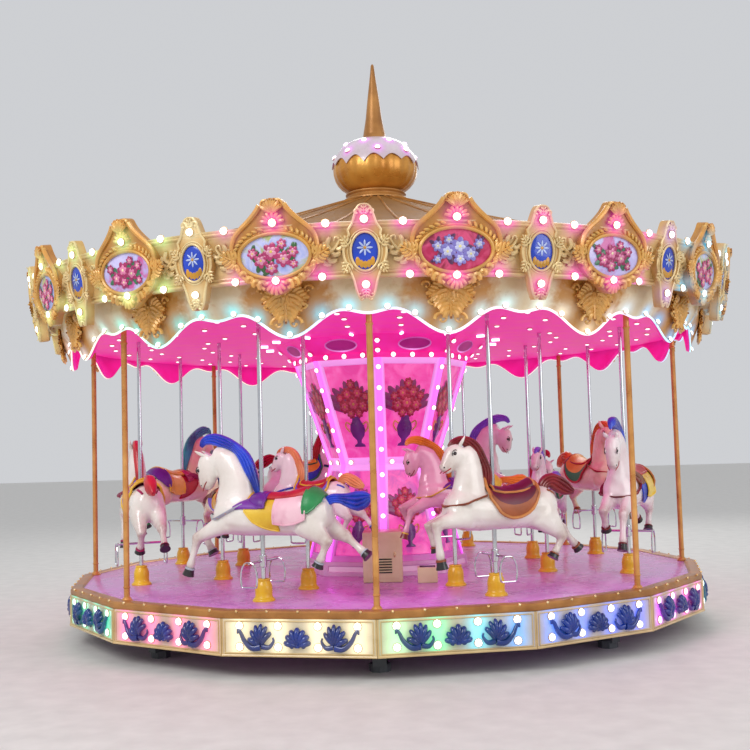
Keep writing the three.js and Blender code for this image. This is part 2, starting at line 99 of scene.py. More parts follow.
def addNode(tree, kind, links=None, stops=None, **settings):
    # one node with its settings, its values and what feeds it
    node = tree.nodes.new("ShaderNode" + kind)
    for name, value in settings.items():
        setattr(node, name, value)
    for socket, source in (links or {}).items():
        if isinstance(source, bpy.types.NodeSocket):
            tree.links.new(source, node.inputs[socket])
        else:
            node.inputs[socket].default_value = source
    for i, (position, code) in enumerate(stops or []):
        if i > 1:
            node.color_ramp.elements.new(position)
        node.color_ramp.elements[i].position = position
        node.color_ramp.elements[i].color = toLinear(code)
    return node


def mixed(tree, factor, first, second, kind="MIX"):
    # two colours as one socket
    return addNode(tree, "Mix", {"Factor": factor, 6: first, 7: second}, data_type="RGBA",
                   blend_type=kind).outputs[2]


def shine(tree, shader, source, strength):
    # lets a surface give off a colour
    tree.links.new(source, shader.inputs["Emission Color"])
    shader.inputs["Emission Strength"].default_value = strength


def startMaterial(name, colour, roughness, **values):
    # a material with its shader; constant values stand on the shader's own sockets
    material = bpy.data.materials.new(name)
    material.use_nodes = True
    tree = material.node_tree
    tree.nodes.clear()
    shader = addNode(tree, "BsdfPrincipled", {"Base Color": toLinear(colour), "Roughness": roughness})
    for socket, value in values.items():
        shader.inputs[socket.replace("_", " ")].default_value = value
    addNode(tree, "OutputMaterial", {"Surface": shader.outputs["BSDF"]})
    place = addNode(tree, "TexCoord").outputs["Object"]
    return material, tree, shader, place


def emboss(tree, shader, height, strength, depth):
    # fine relief, its depth in metres
    bump = addNode(tree, "Bump", {"Height": height, "Strength": strength, "Distance": depth})
    tree.links.new(bump.outputs["Normal"], shader.inputs["Normal"])


def addSurface(tree, shader, place, grain, depth, colours, low=0.3, high=0.7, spread=0.06):
    # slow colour drift, roughness drift and fine relief; grain and depth in metres
    drift = addNode(tree, "TexNoise", {"Vector": place, "Scale": 6.0, "Detail": 5.0})
    colour = addNode(tree, "ValToRGB", {"Fac": drift.outputs["Fac"]}, [(low, colours[0]), (high, colours[1])])
    tree.links.new(colour.outputs["Color"], shader.inputs["Base Color"])
    base = shader.inputs["Roughness"].default_value
    rough = addNode(tree, "MapRange", {"Value": drift.outputs["Fac"], "From Min": 0.3, "From Max": 0.7,
                                       "To Min": max(base - spread, 0.02), "To Max": base + spread})
    tree.links.new(rough.outputs["Result"], shader.inputs["Roughness"])
    fine = addNode(tree, "TexNoise", {"Vector": place, "Scale": 1 / grain, "Detail": 3.0})
    emboss(tree, shader, fine.outputs["Fac"], 0.6, depth)
    return colour.outputs["Color"]


def addGlow(tree, shader, colour, amount):
    # lamp light that lies on a surface, from the piece's own "glow" attribute
    glow = addNode(tree, "Attribute", attribute_name="glow").outputs
    lit = mixed(tree, glow["Alpha"], colour, glow["Color"], "MULTIPLY")
    tree.links.new(lit, shader.inputs["Base Color"])
    shine(tree, shader, glow["Color"], amount)


# gloss polyester paint, sprayed: smooth, with a slight orange peel
def glossPaint(name, colour, shade, roughness=0.28, glow=0.0, lit=0.0):
    material, tree, shader, place = startMaterial(name, colour, roughness, Coat_Weight=0.0 if lit else 0.35)
    drift = addSurface(tree, shader, place, 0.006, 0.0004, (shade, colour))
    if glow:
        addGlow(tree, shader, drift, glow)
    if lit:  # painted glow: the panel gives off its own colour, as if lit by hidden strips
        shine(tree, shader, drift, lit)
    return material


# gilding on moulded resin with a mottled brown glaze; the brown in the hollows and the bright edges, read
# from pointiness, are painted shade and painted highlight
def gildedResin(name, hollow, body, edge, glow):
    material, tree, shader, place = startMaterial(name, body, 0.34, Coat_Weight=0.2, Metallic=0.15)
    addSurface(tree, shader, place, 0.008, 0.0006, (body, body))
    bent = addNode(tree, "NewGeometry")
    # painted shade in the hollows and painted highlight on the edges, from the mesh's pointiness
    hollowShadeEdgeHighlight = addNode(tree, "ValToRGB", {"Fac": bent.outputs["Pointiness"]},
                   [(0.4, hollow), (0.47, body), (0.53, body), (0.62, edge)])
    mottle = addNode(tree, "TexNoise", {"Vector": place, "Scale": 14.0, "Detail": 6.0})
    glaze = addNode(tree, "ValToRGB", {"Fac": mottle.outputs["Fac"]}, [(0.35, hollow), (0.6, body)])
    addGlow(tree, shader, mixed(tree, 0.35, hollowShadeEdgeHighlight.outputs["Color"], glaze.outputs["Color"]), glow)
    return material


# metallic paint with a slow colour drift and fine relief
def goldPaint(name, dark, light, metallic, roughness):
    material, tree, shader, place = startMaterial(name, light, roughness, Metallic=metallic)
    addSurface(tree, shader, place, 0.003, 0.0003, (dark, light))
    return material


# polished chrome tube: clear, with faint dull streaks down its length
def chromeTube():
    material, tree, shader, place = startMaterial("polishedChrome", "#d9dbe0", 0.1, Metallic=1.0)
    streaks = addNode(tree, "Mapping", {"Vector": place, "Scale": (90, 90, 3)})
    addSurface(tree, shader, streaks.outputs["Vector"], 0.5, 0.0001, ("#b9bcc4", "#e6e7ea"), spread=0.05)
    return material


# structural steel under thinned dark paint, with scuffs
def frameSteel():
    material, tree, shader, place = startMaterial("paintedSteel", "#4b4e53", 0.5)
    addSurface(tree, shader, place, 0.004, 0.0005, ("#33353a", "#5a5e64"), spread=0.12)
    return material


# frosted lamp: a milky dome that is lit from inside, brightest in the middle
def lampDome(name, colour, strength):
    material, tree, shader, _ = startMaterial(name, "#fff8f0", 0.25)
    tint = addNode(tree, "Attribute", attribute_name="glow")
    edge = addNode(tree, "LayerWeight", {"Blend": 0.6})
    lit = mixed(tree, edge.outputs["Facing"], toLinear(colour), tint.outputs["Color"])
    shine(tree, shader, lit, strength)
    return material


# high-pressure laminate on ply: lilac, glossy, faint cloudy mottle and scuffs from shoes
def deckLaminate():
    material, tree, shader, place = startMaterial("lilacLaminate", "#be70c2", 0.3, Coat_Weight=0.15)
    addSurface(tree, shader, place, 0.05, 0.0004, ("#c276c8", "#d28cd6"), 0.35, 0.65, spread=0.08)
    return material


def settle(bm, weld=0.0):
    # welds points that meet and turns the faces one way
    if weld:
        bmesh.ops.remove_doubles(bm, verts=bm.verts, dist=weld)
    bmesh.ops.recalc_face_normals(bm, faces=bm.faces)


def faceOutwards(bm, weld=0.0):
    # a curled leaf can come out of the recalculation inside out, so each closed shell is weighed
    settle(bm, weld)
    waiting = set(bm.faces)
    while waiting:
        shell = [waiting.pop()]
        for face in shell:  # the list grows while it is read
            for other in {f for edge in face.edges for f in edge.link_faces} & waiting:
                waiting.remove(other)
                shell.append(other)
        middle = shell[0].verts[0].co.copy()
        volume = 0.0
        for face in shell:
            corners = [v.co - middle for v in face.verts]
            volume += sum(corners[0].dot(b.cross(c)) for b, c in zip(corners[1:], corners[2:]))
        if volume < 0 and all(edge.is_manifold for face in shell for edge in face.edges):
            bmesh.ops.reverse_faces(bm, faces=shell)


def toMesh(bm, name="shape"):
    mesh = bpy.data.meshes.new(name)
    bm.to_mesh(mesh)
    bm.free()
    return mesh


def addObject(name, data):
    thing = bpy.data.objects.new(name, data)
    bpy.context.scene.collection.objects.link(thing)
    return thing


def asMesh(bm, weld=0.0):
    # a finished shape, kept as a mesh whose copies go into the pieces
    faceOutwards(bm, weld)
    return toMesh(bm)


def put(bm, shape, *places):
    # copies of a shape into a piece
    for place in places:
        copy = shape.copy()
        copy.transform(place)
        if place.determinant() < 0:
            copy.flip_normals()
        bm.from_mesh(copy)
        bpy.data.meshes.remove(copy)


def makePiece(name, shape, materials, finish, replaced=(), body="turntable", sharp=38.0, glowing=0.0):
    # a mesh or bmesh as a named object that rides on a body
    mesh = toMesh(shape, name) if isinstance(shape, bmesh.types.BMesh) else shape
    for material in materials:
        mesh.materials.append(material)
    mesh.polygons.foreach_set("use_smooth", [True] * len(mesh.polygons))
    mesh.set_sharp_from_angle(angle=math.radians(sharp))
    if glowing:
        spreadGlow(mesh, glowing)
    piece = addObject(name, mesh)
    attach(piece, body)
    if replaced:
        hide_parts(*replaced)
    return piece


def makeCopies(name, shape, places, materials, finish, replaced=(), **settings):
    # copies of one shape as a piece
    bm = bmesh.new()
    put(bm, shape, *places)
    makePiece(name, bm, materials, finish, replaced, **settings)


def spreadGlow(mesh, reach):
    # colour attribute: the light of the lamps near each point, with its strength as alpha
    tree = KDTree(len(lamps))
    for i, (place, _) in enumerate(lamps):
        tree.insert(place, i)
    tree.balance()
    values = np.zeros((len(mesh.vertices), 4), dtype=np.float32)
    for vertex in mesh.vertices:
        total = Vector((0, 0, 0))
        weight = 0.0
        for _, index, distance in tree.find_range(vertex.co, 2.2 * reach):
            share = math.exp(-(distance / reach) ** 2)
            total += Vector(lamps[index][1][:3]) * share
            weight += share
        if weight > 0:
            strength = min(weight, 1.0)
            values[vertex.index] = (*(total / weight * strength), 0.6 * strength)
    layer = mesh.attributes.new("glow", "FLOAT_COLOR", "POINT")
    layer.data.foreach_set("color", values.ravel())


def spot(angle, radius, height, lean=0.0):
    # a place round the machine: X to the right, -Y outwards, Z up
    place = Matrix.Rotation(angle, 4, "Z") @ Matrix.Translation((0, -radius, height))
    return place @ Matrix.Rotation(lean, 4, "X")


def at(x, y, z, *turns):
    # a shift, then turns given as (angle, axis)
    place = Matrix.Translation((x, y, z))
    for angle, axis in turns:
        place = place @ Matrix.Rotation(angle, 4, axis)
    return place


def scaled(x, y, z):
    return Matrix.Diagonal((x, y, z, 1.0))


def markFrom(bm, first, material):
    # gives the faces made since a count their material
    bm.faces.ensure_lookup_table()
    for face in bm.faces[first:]:
        face.material_index = material


def turn(bm, profile, steps, material=0, closed=True):
    # an outline of (radius, height) points spun round the middle
    first = len(bm.faces)
    verts = [bm.verts.new((0, -radius, height)) for radius, height in profile]
    pairs = list(zip(verts, verts[1:])) + ([(verts[-1], verts[0])] if closed else [])
    edges = [bm.edges.new(pair) for pair in pairs]
    bmesh.ops.spin(bm, geom=verts + edges, cent=(0, 0, 0), axis=(0, 0, 1), angle=fullTurn,
                   steps=steps, use_merge=True)
    markFrom(bm, first, material)


def turned(profile, steps, closed=False):
    bm = bmesh.new()
    turn(bm, profile, steps, 0, closed)
    return asMesh(bm, 1e-5)


def sweep(bm, points, radii, sides=6, closed=False, material=0, upright=None):
    # a tube along points; radii may be a list with one for each point, and a radius a pair: across, upright
    first = len(bm.faces)
    points = [Vector(p) for p in points]
    count = len(points)
    rings = []
    across = None
    for i, point in enumerate(points):
        before = points[i - 1] if closed or i else point
        after = points[(i + 1) % count] if closed or i + 1 < count else point
        along = (after - before).normalized()
        if upright is not None:
            across = along.cross(Vector(upright)).normalized()
        elif across is None:
            across = along.orthogonal().normalized()
        else:
            across = (across - along * across.dot(along)).normalized()
        other = along.cross(across)
        radius = radii[i % len(radii)] if isinstance(radii, list) else radii
        wide, tall = radius if isinstance(radius, tuple) else (radius, radius)
        frameTurn = Matrix((across * wide, other * tall, along)).transposed().to_4x4()
        ring = bmesh.ops.create_circle(bm, cap_ends=False, segments=sides, radius=1.0,
                                       matrix=Matrix.Translation(point) @ frameTurn)["verts"]
        rings.append((ring, list({edge for vert in ring for edge in vert.link_edges})))
    pairs = list(zip(rings, rings[1:])) + ([(rings[-1], rings[0])] if closed else [])
    for (_, low), (_, high) in pairs:
        bmesh.ops.bridge_loops(bm, edges=low + high)
    if not closed:
        for ring, _ in (rings[0], rings[-1]):
            bm.faces.new(ring)
    markFrom(bm, first, material)


def plate(bm, outline, back, front, material, edge, cell=0.0):
    # an outline in X and Z, thickened towards -Y, its front edge rounded and its face cut into cells
    own = bmesh.new()
    face = own.faces.new([own.verts.new((x, -back, z)) for x, z in outline])
    grown = bmesh.ops.extrude_face_region(own, geom=[face])["geom"]
    verts = [g for g in grown if isinstance(g, bmesh.types.BMVert)]
    bmesh.ops.translate(own, verts=verts, vec=(0, back - front, 0))
    rim = [g for g in grown if isinstance(g, bmesh.types.BMEdge)]
    bmesh.ops.bevel(own, geom=rim, offset=edge, segments=2, profile=0.5, affect="EDGES", material=-1)
    for axis in (0, 1) if cell else ():
        low, high = min(p[axis] for p in outline), max(p[axis] for p in outline)
        normal = Vector((1 - axis, 0, axis))
        for k in range(1, int((high - low) / cell)):
            bmesh.ops.bisect_plane(own, geom=own.verts[:] + own.edges[:] + own.faces[:],
                                   plane_co=normal * (low + k * cell), plane_no=normal)
    markFrom(own, 0, material)
    put(bm, asMesh(own), still)


def softBox(bm, low, high, edge):
    # a box with rounded edges
    own = bmesh.new()
    place = Matrix.Translation((low + high) / 2) @ scaled(*(high - low))
    bmesh.ops.create_cube(own, size=1.0, matrix=place)
    bmesh.ops.bevel(own, geom=own.edges[:], offset=edge, segments=2, profile=0.5, affect="EDGES", material=-1)
    put(bm, asMesh(own), still)


def blob(bm, centre, size, material=0, detail=(10, 7), turns=()):
    # an ellipsoid with its poles along Z
    first = len(bm.faces)
    bmesh.ops.create_uvsphere(bm, u_segments=detail[0], v_segments=detail[1], radius=1.0,
                              matrix=at(*centre, *turns) @ scaled(*size))
    markFrom(bm, first, material)


def smoothLine(points, steps, closed=False):
    # a curve through points, as steps between each two of them
    points = [Vector(p) for p in points]
    count = len(points)
    line = []
    for i in range(count if closed else count - 1):
        a = points[(i - 1) % count] if closed or i else points[0]
        b = points[i]
        c = points[(i + 1) % count]
        d = points[(i + 2) % count] if closed or i + 2 < count else points[-1]
        for k in range(steps):
            t = k / steps
            line.append(0.5 * ((2 * b) + (c - a) * t + (2 * a - 5 * b + 4 * c - d) * t * t
                               + (3 * b - a - 3 * c + d) * t * t * t))
    if not closed:
        line.append(points[-1])
    return line


def spiral(x, z, start, end, first, last, steps, y):
    # a scroll in X and Z: radius and angle (degrees) from the first to the last
    line = []
    for k in range(steps + 1):
        t = k / steps
        radius = start + (end - start) * t
        angle = math.radians(first + (last - first) * t)
        line.append((x + radius * math.cos(angle), y, z + radius * math.sin(angle)))
    return line


def taper(count, thick, thin=0.3):
    # radii that fall from thick to a share of it
    return [thick * (1 - (1 - thin) * k / (count - 1)) for k in range(count)]


def lampShape(radius, depth):
    # a lamp with its back at the origin: dome in front (-Y), base ring behind
    bm = bmesh.new()
    turn(bm, [(0, 0.0), (radius * 1.15, 0.0), (radius * 1.15, 0.005), (radius, 0.006)], 8, 1, closed=False)
    turn(bm, [(radius, 0.006), (radius * 0.8, depth * 0.75), (0, depth)], 8, 0, closed=False)
    bmesh.ops.remove_doubles(bm, verts=bm.verts, dist=1e-5)
    bmesh.ops.rotate(bm, verts=bm.verts, cent=(0, 0, 0), matrix=Matrix.Rotation(math.pi / 2, 3, "X"))
    return asMesh(bm)


def makeLamps(name, places, size, glass):
    # lamps as one piece; each dome takes the colour that lightUp noted
    makeCopies(name, lampShape(*size), places, [glass, lampBase], "post_gilt", glowing=0.03)


def lightUp(places, ring=None, colour=None):
    # notes lamps in one colour or in those of a ring, so that the pieces behind them take it
    for place in places:
        middle = place @ Vector((0, -lampDepth, 0))
        shown = toLinear(colour) if colour else lampColour(ring, math.atan2(middle.x, -middle.y))
        lamps.append((middle, shown))


print("materials")
skirtGloss = glossPaint("creamyGelcoat", "#d6c8ac", "#c2b292", glow=1.15)
shellBlue = glossPaint("navyGelcoat", "#123592", "#0c2464", 0.18, glow=0.12)
railCream = glossPaint("creamGelcoat", "#dcc088", "#c4a468", 0.3, glow=0.35)
bronzePaint = goldPaint("bronzePaint", "#94602c", "#c08848", 0.3, 0.34)
giltPaint = goldPaint("giltPaint", "#b87838", "#e2a860", 0.3, 0.3)
brassKnob = goldPaint("pearlBrass", "#d8b070", "#f3dfae", 0.6, 0.2)
steelPaint = frameSteel()
chrome = chromeTube()
laminate = deckLaminate()
cupYellow = glossPaint("yellowPolyurethane", "#f2c620", "#dca612", 0.34)
lampWhite = lampDome("frostedLamp", "#ffffff", 1.9)
lampBase = goldPaint("lampBase", "#b98a4a", "#e0bb78", 0.5, 0.35)
# the magenta panel paint gives off its own colour as painted glow; it covers the cornice, the inside of the
# valance and the ceiling
panelMagenta = glossPaint("magentaPanel", "#f030ac", "#e01e92", 0.5, lit=0.42)
creamGilt = gildedResin("gildedCream", "#9a6a30", "#dcbc80", "#f6e2ac", glow=0.9)
tanGilt = gildedResin("gildedTan", "#74400f", "#d2862c", "#f6cc78", glow=0.8)
plateGold = glossPaint("goldGelcoat", "#cc9242", "#a46a28", 0.36, glow=0.8)
amberGilt = gildedResin("gildedAmber", "#804814", "#ca8c38", "#f0c46e", glow=0.7)
platePale = glossPaint("paleGoldGelcoat", "#dcb270", "#bc8e4a", 0.36, glow=0.85)
whiteIcing = glossPaint("whiteIcing", "#dccdd4", "#c6b4be", 0.3, glow=0.9)


print("deck and rod cups")
deckSizes = {
    "cornerRadius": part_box("deck")[1].x,
    "low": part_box("deck")[0].z,
    "cupHeight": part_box("deck")[1].z - deckTop,
    "outerRow": 2.06,
    "innerRow": 1.41,
    "edge": 0.004,
    "bore": 0.0175,
}


def rowPlaces(row, height):
    return [spot((bay + 0.5) * bayTurn, deckSizes[row], height) for bay in range(bays)]


def makeDeck():
    # board with a softened edge and a bore for every rod
    bm = bmesh.new()
    s = deckSizes
    r, low, edge = s["cornerRadius"], s["low"], s["edge"]
    side = [(r, low), (r, deckTop - edge), (r - 0.3 * edge, deckTop - 0.3 * edge), (r - edge, deckTop)]
    turn(bm, side, sectors, closed=False)
    bore = turned([(s["bore"], low), (s["bore"], deckTop)], 16)
    put(bm, bore, *rowPlaces("outerRow", 0.0), *rowPlaces("innerRow", 0.0))
    for height in (low, deckTop):
        level = [e for e in bm.edges if e.is_boundary and all(abs(v.co.z - height) < 1e-5 for v in e.verts)]
        bmesh.ops.triangle_fill(bm, use_beauty=True, edges=level)
    settle(bm)
    makePiece("deckBoard", bm, [laminate], "deck_board", ["deck"])


def cupShape():
    # flared foot, waisted body, rolled lip and a bore for the rod
    top = deckSizes["cupHeight"]
    bore = deckSizes["bore"]
    outline = [(bore, 0.0), (0.077, 0.0), (0.078, 0.008), (0.072, 0.016), (0.063, 0.024), (0.059, 0.036),
               (0.059, 0.06), (0.06, 0.082), (0.057, 0.104), (0.051, 0.122), (0.045, 0.132), (0.044, 0.138),
               (0.047, 0.142), (0.047, top - 0.004), (0.043, top), (0.03, top - 0.001), (0.022, top - 0.01),
               (bore, top - 0.012)]
    return turned(outline, 20, closed=True)


def makeCups():
    places = rowPlaces("outerRow", deckTop) + rowPlaces("innerRow", deckTop)
    makeCopies("rodCups", cupShape(), places, [cupYellow], "deck_board", sharp=50)


makeDeck()
makeCups()


print("rim and skirt")
rimSizes = {"inner": platformRadius - 0.095, "low": skirtHigh + 0.001, "top": deckTop + 0.0125,
            "knobs": 5, "knobRadius": 0.01}
skirtSizes = {
    "half": platformRadius * math.sin(sectorTurn / 2),  # half the width of a panel
    "face": platformRadius * flatSide,
    "lampColumns": (-0.385, -0.13, 0.13, 0.385),
    "lampRows": (0.207, 0.338),
    "lamp": (0.026, 0.02),  # radius and depth
    "shellHeight": 0.27,
    "sideShell": 0.262,
    "frameInset": 0.022,
}


def makeRim():
    s = rimSizes
    inner, out, low, top = s["inner"], platformRadius, s["low"], s["top"]
    bm = bmesh.new()
    turn(bm, [(inner, deckTop + 0.0005), (inner + 0.008, top - 0.003), (inner + 0.014, top),
              (out - 0.026, top), (out - 0.008, top - 0.004), (out, top - 0.014), (out, low + 0.01),
              (out - 0.006, low), (out - 0.03, low), (out - 0.03, deckTop + 0.0005)], sectors)
    settle(bm, 1e-5)
    knob = bmesh.new()
    blob(knob, (0, 0, 0), (s["knobRadius"],) * 3, 1, (8, 6))
    knob = asMesh(knob)
    for i in range(sectors):
        for k in range(s["knobs"]):
            x = skirtSizes["half"] * (2 * (k + 0.5) / s["knobs"] - 1)
            place = at(x, -skirtSizes["face"] + 0.002, top - 0.006)
            put(bm, knob, spot((i + 0.5) * sectorTurn, 0, 0) @ place)
    makePiece("deckRim", bm, [bronzePaint, brassKnob], "rim_bronze", ["deck_rim"])


def fanShell():
    # scallop shell 160 wide and 130 high: lobes spread from the foot, with a rolled hinge
    bm = bmesh.new()
    lobes = 7
    for k in range(lobes):
        angle = math.radians(168 - 156 * k / (lobes - 1))
        reach = 0.086 - 0.012 * abs(k - (lobes - 1) / 2) / 3
        tip = (reach * math.cos(angle), -0.012, -0.045 + reach * 1.12 * math.sin(angle))
        middle = (0.55 * tip[0], -0.03, -0.045 + 0.55 * (tip[2] + 0.045))
        sweep(bm, smoothLine([(0, -0.006, -0.05), middle, tip], 4),
              [0.006, 0.009, 0.012, 0.014, 0.016, 0.017, 0.017, 0.015, 0.009], 7)
    for side in (-1, 1):
        curl = [(side * x, y, z) for x, y, z in spiral(0.028, -0.048, 0.026, 0.006, 200, -120, 12, -0.014)]
        sweep(bm, curl, taper(13, 0.01, 0.5))
    return asMesh(bm)


def tailedShell():
    # side shell: broad fan whose outer side runs out into a curled tail
    bm = bmesh.new()
    for k in range(6):
        angle = math.radians(165 - 130 * k / 5)
        tip = (0.02 + 0.085 * math.cos(angle), -0.012, -0.035 + 0.098 * math.sin(angle))
        middle = (0.02 + 0.5 * (tip[0] - 0.02), -0.032, -0.035 + 0.55 * (tip[2] + 0.035))
        sweep(bm, smoothLine([(0.02, -0.008, -0.045), middle, tip], 4),
              [0.007, 0.01, 0.013, 0.015, 0.016, 0.016, 0.015, 0.013, 0.008], 7)
    tail = smoothLine([(0.02, -0.016, -0.048), (-0.035, -0.02, -0.052), (-0.085, -0.016, -0.02),
                       (-0.11, -0.014, 0.02), (-0.128, -0.012, 0.034), (-0.132, -0.012, 0.016)], 4)
    sweep(bm, tail, taper(len(tail), 0.02), 7)
    foot = smoothLine([(0.03, -0.014, -0.045), (0.075, -0.018, -0.05), (0.105, -0.014, -0.022),
                       (0.1, -0.012, -0.002)], 4)
    sweep(bm, foot, taper(len(foot), 0.016, 0.35), 7)
    return asMesh(bm)


def skirtPanel():
    # board with a fine grid for the lamp light, frame line and bottom rail; its face is at y = 0
    s = skirtSizes
    bm = bmesh.new()
    high = skirtHigh - skirtLow
    wide = s["half"] - 0.002
    place = at(0, 0, skirtLow + high / 2, (math.pi / 2, "X")) @ scaled(2 * wide, high, 1)
    bmesh.ops.create_grid(bm, x_segments=36, y_segments=10, size=0.5, matrix=place)
    grown = bmesh.ops.extrude_face_region(bm, geom=list(bm.faces))["geom"]
    front = [g for g in grown if isinstance(g, bmesh.types.BMVert)]
    bmesh.ops.translate(bm, verts=front, vec=(0, -0.004, 0))
    low, top = skirtLow + 0.022, skirtHigh - 0.014
    x = wide - s["frameInset"]
    corners = [(-x, -0.006, low), (x, -0.006, low), (x, -0.006, top), (-x, -0.006, top)]
    for ends in zip(corners, corners[1:] + corners[:1]):
        sweep(bm, ends, 0.0045, material=1)
    rail = [(way * wide, -0.005, skirtLow + 0.008) for way in (-1, 1)]
    sweep(bm, rail, (0.01, 0.009), 8, material=1)
    for side in (-1, 1):
        x = side * (wide - 0.004)
        sweep(bm, [(x, -0.004, skirtLow), (x, -0.004, skirtHigh)], (0.005, 0.006), material=1)
    return asMesh(bm)


def makeSkirt():
    s = skirtSizes
    sides = [spot((i + 0.5) * sectorTurn, s["face"] - 0.004, 0) for i in range(sectors)]
    places = [side @ at(x, -0.004, z) for side in sides for x in s["lampColumns"] for z in s["lampRows"]]
    lightUp(places, "skirt")
    bm = bmesh.new()
    outer, inner = platformRadius - 0.0045, platformRadius - 0.03
    turn(bm, [(outer, skirtLow), (outer, skirtHigh), (inner, skirtHigh), (inner, skirtLow)], sectors)
    faceOutwards(bm)
    put(bm, skirtPanel(), *sides)
    makePiece("skirtBoards", bm, [skirtGloss, railCream], "skirt_enamel", ["skirt"], glowing=0.075)
    bm = bmesh.new()
    middleShell, sideShell = fanShell(), tailedShell()
    for side in sides:
        put(bm, middleShell, side @ at(0, -0.004, s["shellHeight"]) @ scaled(1.16, 1.1, 1.14))
        for way in (-1, 1):
            place = side @ at(way * s["sideShell"], -0.004, s["shellHeight"])
            put(bm, sideShell, place @ scaled(-way, 1.1, 1.26))
    makePiece("skirtShells", bm, [shellBlue], "skirt_enamel", sharp=60, glowing=0.07)
    makeLamps("skirtLamps", places, s["lamp"], lampWhite)


makeSkirt()
makeRim()


print("posts")
postSizes = {"radius": 0.0205, "footRadius": 0.041, "foot": deckTop + 0.0005, "top": ceilingLow - 0.0005}


def makePosts():
    r, foot, low, high = (postSizes[k] for k in ("radius", "footRadius", "foot", "top"))
    outline = [(0, low), (foot, low), (foot, low + 0.007), (0.036, low + 0.012), (0.03, low + 0.02),
               (0.027, low + 0.026), (r, low + 0.03), (r, low + 0.09), (r + 0.004, low + 0.094),
               (r + 0.004, low + 0.1), (r, low + 0.104), (r, high - 0.12), (r + 0.005, high - 0.113),
               (r + 0.005, high - 0.104), (r, high - 0.098), (r, high), (0, high)]
    shape = turned(outline, 20)
    for i in range(bays):
        place = spot(i * bayTurn, postCircle, 0)
        makeCopies(f"giltPost{i + 1}", shape, [place], [giltPaint], "post_gilt", [f"post_{i + 1}"])


makePosts()


print("crown")
crownSizes = {
    "foot": (2.787, 2.472),  # radius and height of the band's lower and upper edge
    "head": (2.862, 2.808),
    "back": ((2.741, 2.5263), (2.816, 2.808)),
    "flange": (2.505, 2.5065, 2.5263),
    "steps": 400,
    "plate": (2.845, 2.624, 0.058),  # radius and height of a cartouche's front, and its depth
    "lean": math.radians(8),
    "topBulbs": (2.8, 4.7),  # height, and degrees to each side of a small cartouche
    "bottomBulbs": (2.486, 5.5),
    "bulb": (0.026, 0.024),  # radius and depth
    "spray": (2.64, 6.6, 0.95),  # height, degrees to each side of a large cartouche, and scale
}
bigSizes = {
    "half": [(0, 0.353), (0.04, 0.35), (0.064, 0.336), (0.078, 0.312), (0.096, 0.284), (0.13, 0.246),
             (0.174, 0.206), (0.222, 0.166), (0.258, 0.124), (0.274, 0.072), (0.276, 0.015), (0.266, -0.04),
             (0.244, -0.092), (0.205, -0.136), (0.155, -0.164), (0.11, -0.184), (0.078, -0.208),
             (0.042, -0.232), (0, -0.241)],
    "oval": (0.229, 0.1375), "beads": 40, "bulbs": (0.2, -0.152),
}
smallSizes = {
    "half": [(0, 0.29), (0.028, 0.285), (0.047, 0.262), (0.064, 0.215), (0.08, 0.17), (0.106, 0.132),
             (0.1, 0.104), (0.124, 0.064), (0.1375, 0.01), (0.132, -0.04), (0.112, -0.088), (0.092, -0.13),
             (0.074, -0.18), (0.062, -0.232), (0.05, -0.268), (0.034, -0.3), (0.018, -0.294), (0, -0.278)],
    "oval": (0.081, 0.112), "bulbs": (0.194, -0.2),
}
bigPlaces, smallPlaces = ([spot((i + shift) * sectorTurn, *crownSizes["plate"][:2], crownSizes["lean"])
                           for i in range(sectors)] for shift in (0.5, 0))


def bandRadius(height):
    (low, bottom), (high, top) = crownSizes["foot"], crownSizes["head"]
    return low + (high - low) * (height - bottom) / (top - bottom)


def bandOutline():
    # flange, rolled lower edge, cove, and a stepped upper cornice
    reach, under, over = crownSizes["flange"]
    low, high = crownSizes["foot"][1], crownSizes["head"][1]
    (inLow, inBase), (inHigh, inTop) = crownSizes["back"]
    edge = [(bandRadius(low + z) + r, low + z) for r, z in
            ((-0.034, 0.0), (-0.006, 0.0), (0.004, 0.004), (0.008, 0.013), (0.004, 0.022), (-0.004, 0.026),
             (-0.002, 0.032), (0.003, 0.037), (0.0, 0.043), (-0.006, 0.046))]
    cove = [(bandRadius(z) - 0.006 - 0.015 * math.sin(math.pi * k / 7), z)
            for k, z in ((k, low + 0.052 + 0.0325 * k) for k in range(8))]
    cornice = [(bandRadius(high + z) + r, high + z) for r, z in
               ((-0.004, -0.052), (0.0, -0.046), (0.0, -0.038), (0.01, -0.034), (0.013, -0.026),
                (0.008, -0.018), (0.012, -0.012), (0.012, -0.004), (0.004, 0.0))]
    return ([(reach, under), (inLow, under), (inLow, low + 0.004)] + edge + cove + cornice
            + [(inHigh, inTop), (inLow, inBase), (reach, over)])


def mirroredLine(half):
    return half + [(-x, z) for x, z in reversed(half[1:-1])]


def ring(bm, a, b, radius, material, steps, y, sides=7):
    # an oval moulding in the face of a plate
    angles = [fullTurn * k / steps for k in range(steps)]
    line = [(a * math.cos(angle), y, b * math.sin(angle)) for angle in angles]
    sweep(bm, line, radius, sides, closed=True, material=material, upright=(0, 1, 0))


def leaflet(bm, root, tip, bend, thick, material=0, rise=0.012):
    # one hooked lobe of foliage in the face of a plate, fat in the middle and curled at its tip
    root, tip = Vector((root[0], 0, root[1])), Vector((tip[0], 0, tip[1]))
    along = tip - root
    side = Vector((-along.z, 0, along.x)) * bend
    path = [root, root.lerp(tip, 0.45) + side + Vector((0, -rise, 0)), tip + Vector((0, -rise, 0)),
            tip - along * 0.16 + side * 0.75 + Vector((0, -rise * 1.3, 0))]
    line = smoothLine(path, 3)
    sweep(bm, line, [thick * s for s in (0.55, 0.8, 0.98, 1.0, 0.95, 0.86, 0.72, 0.6, 0.48, 0.34)], 6,
          material=material)


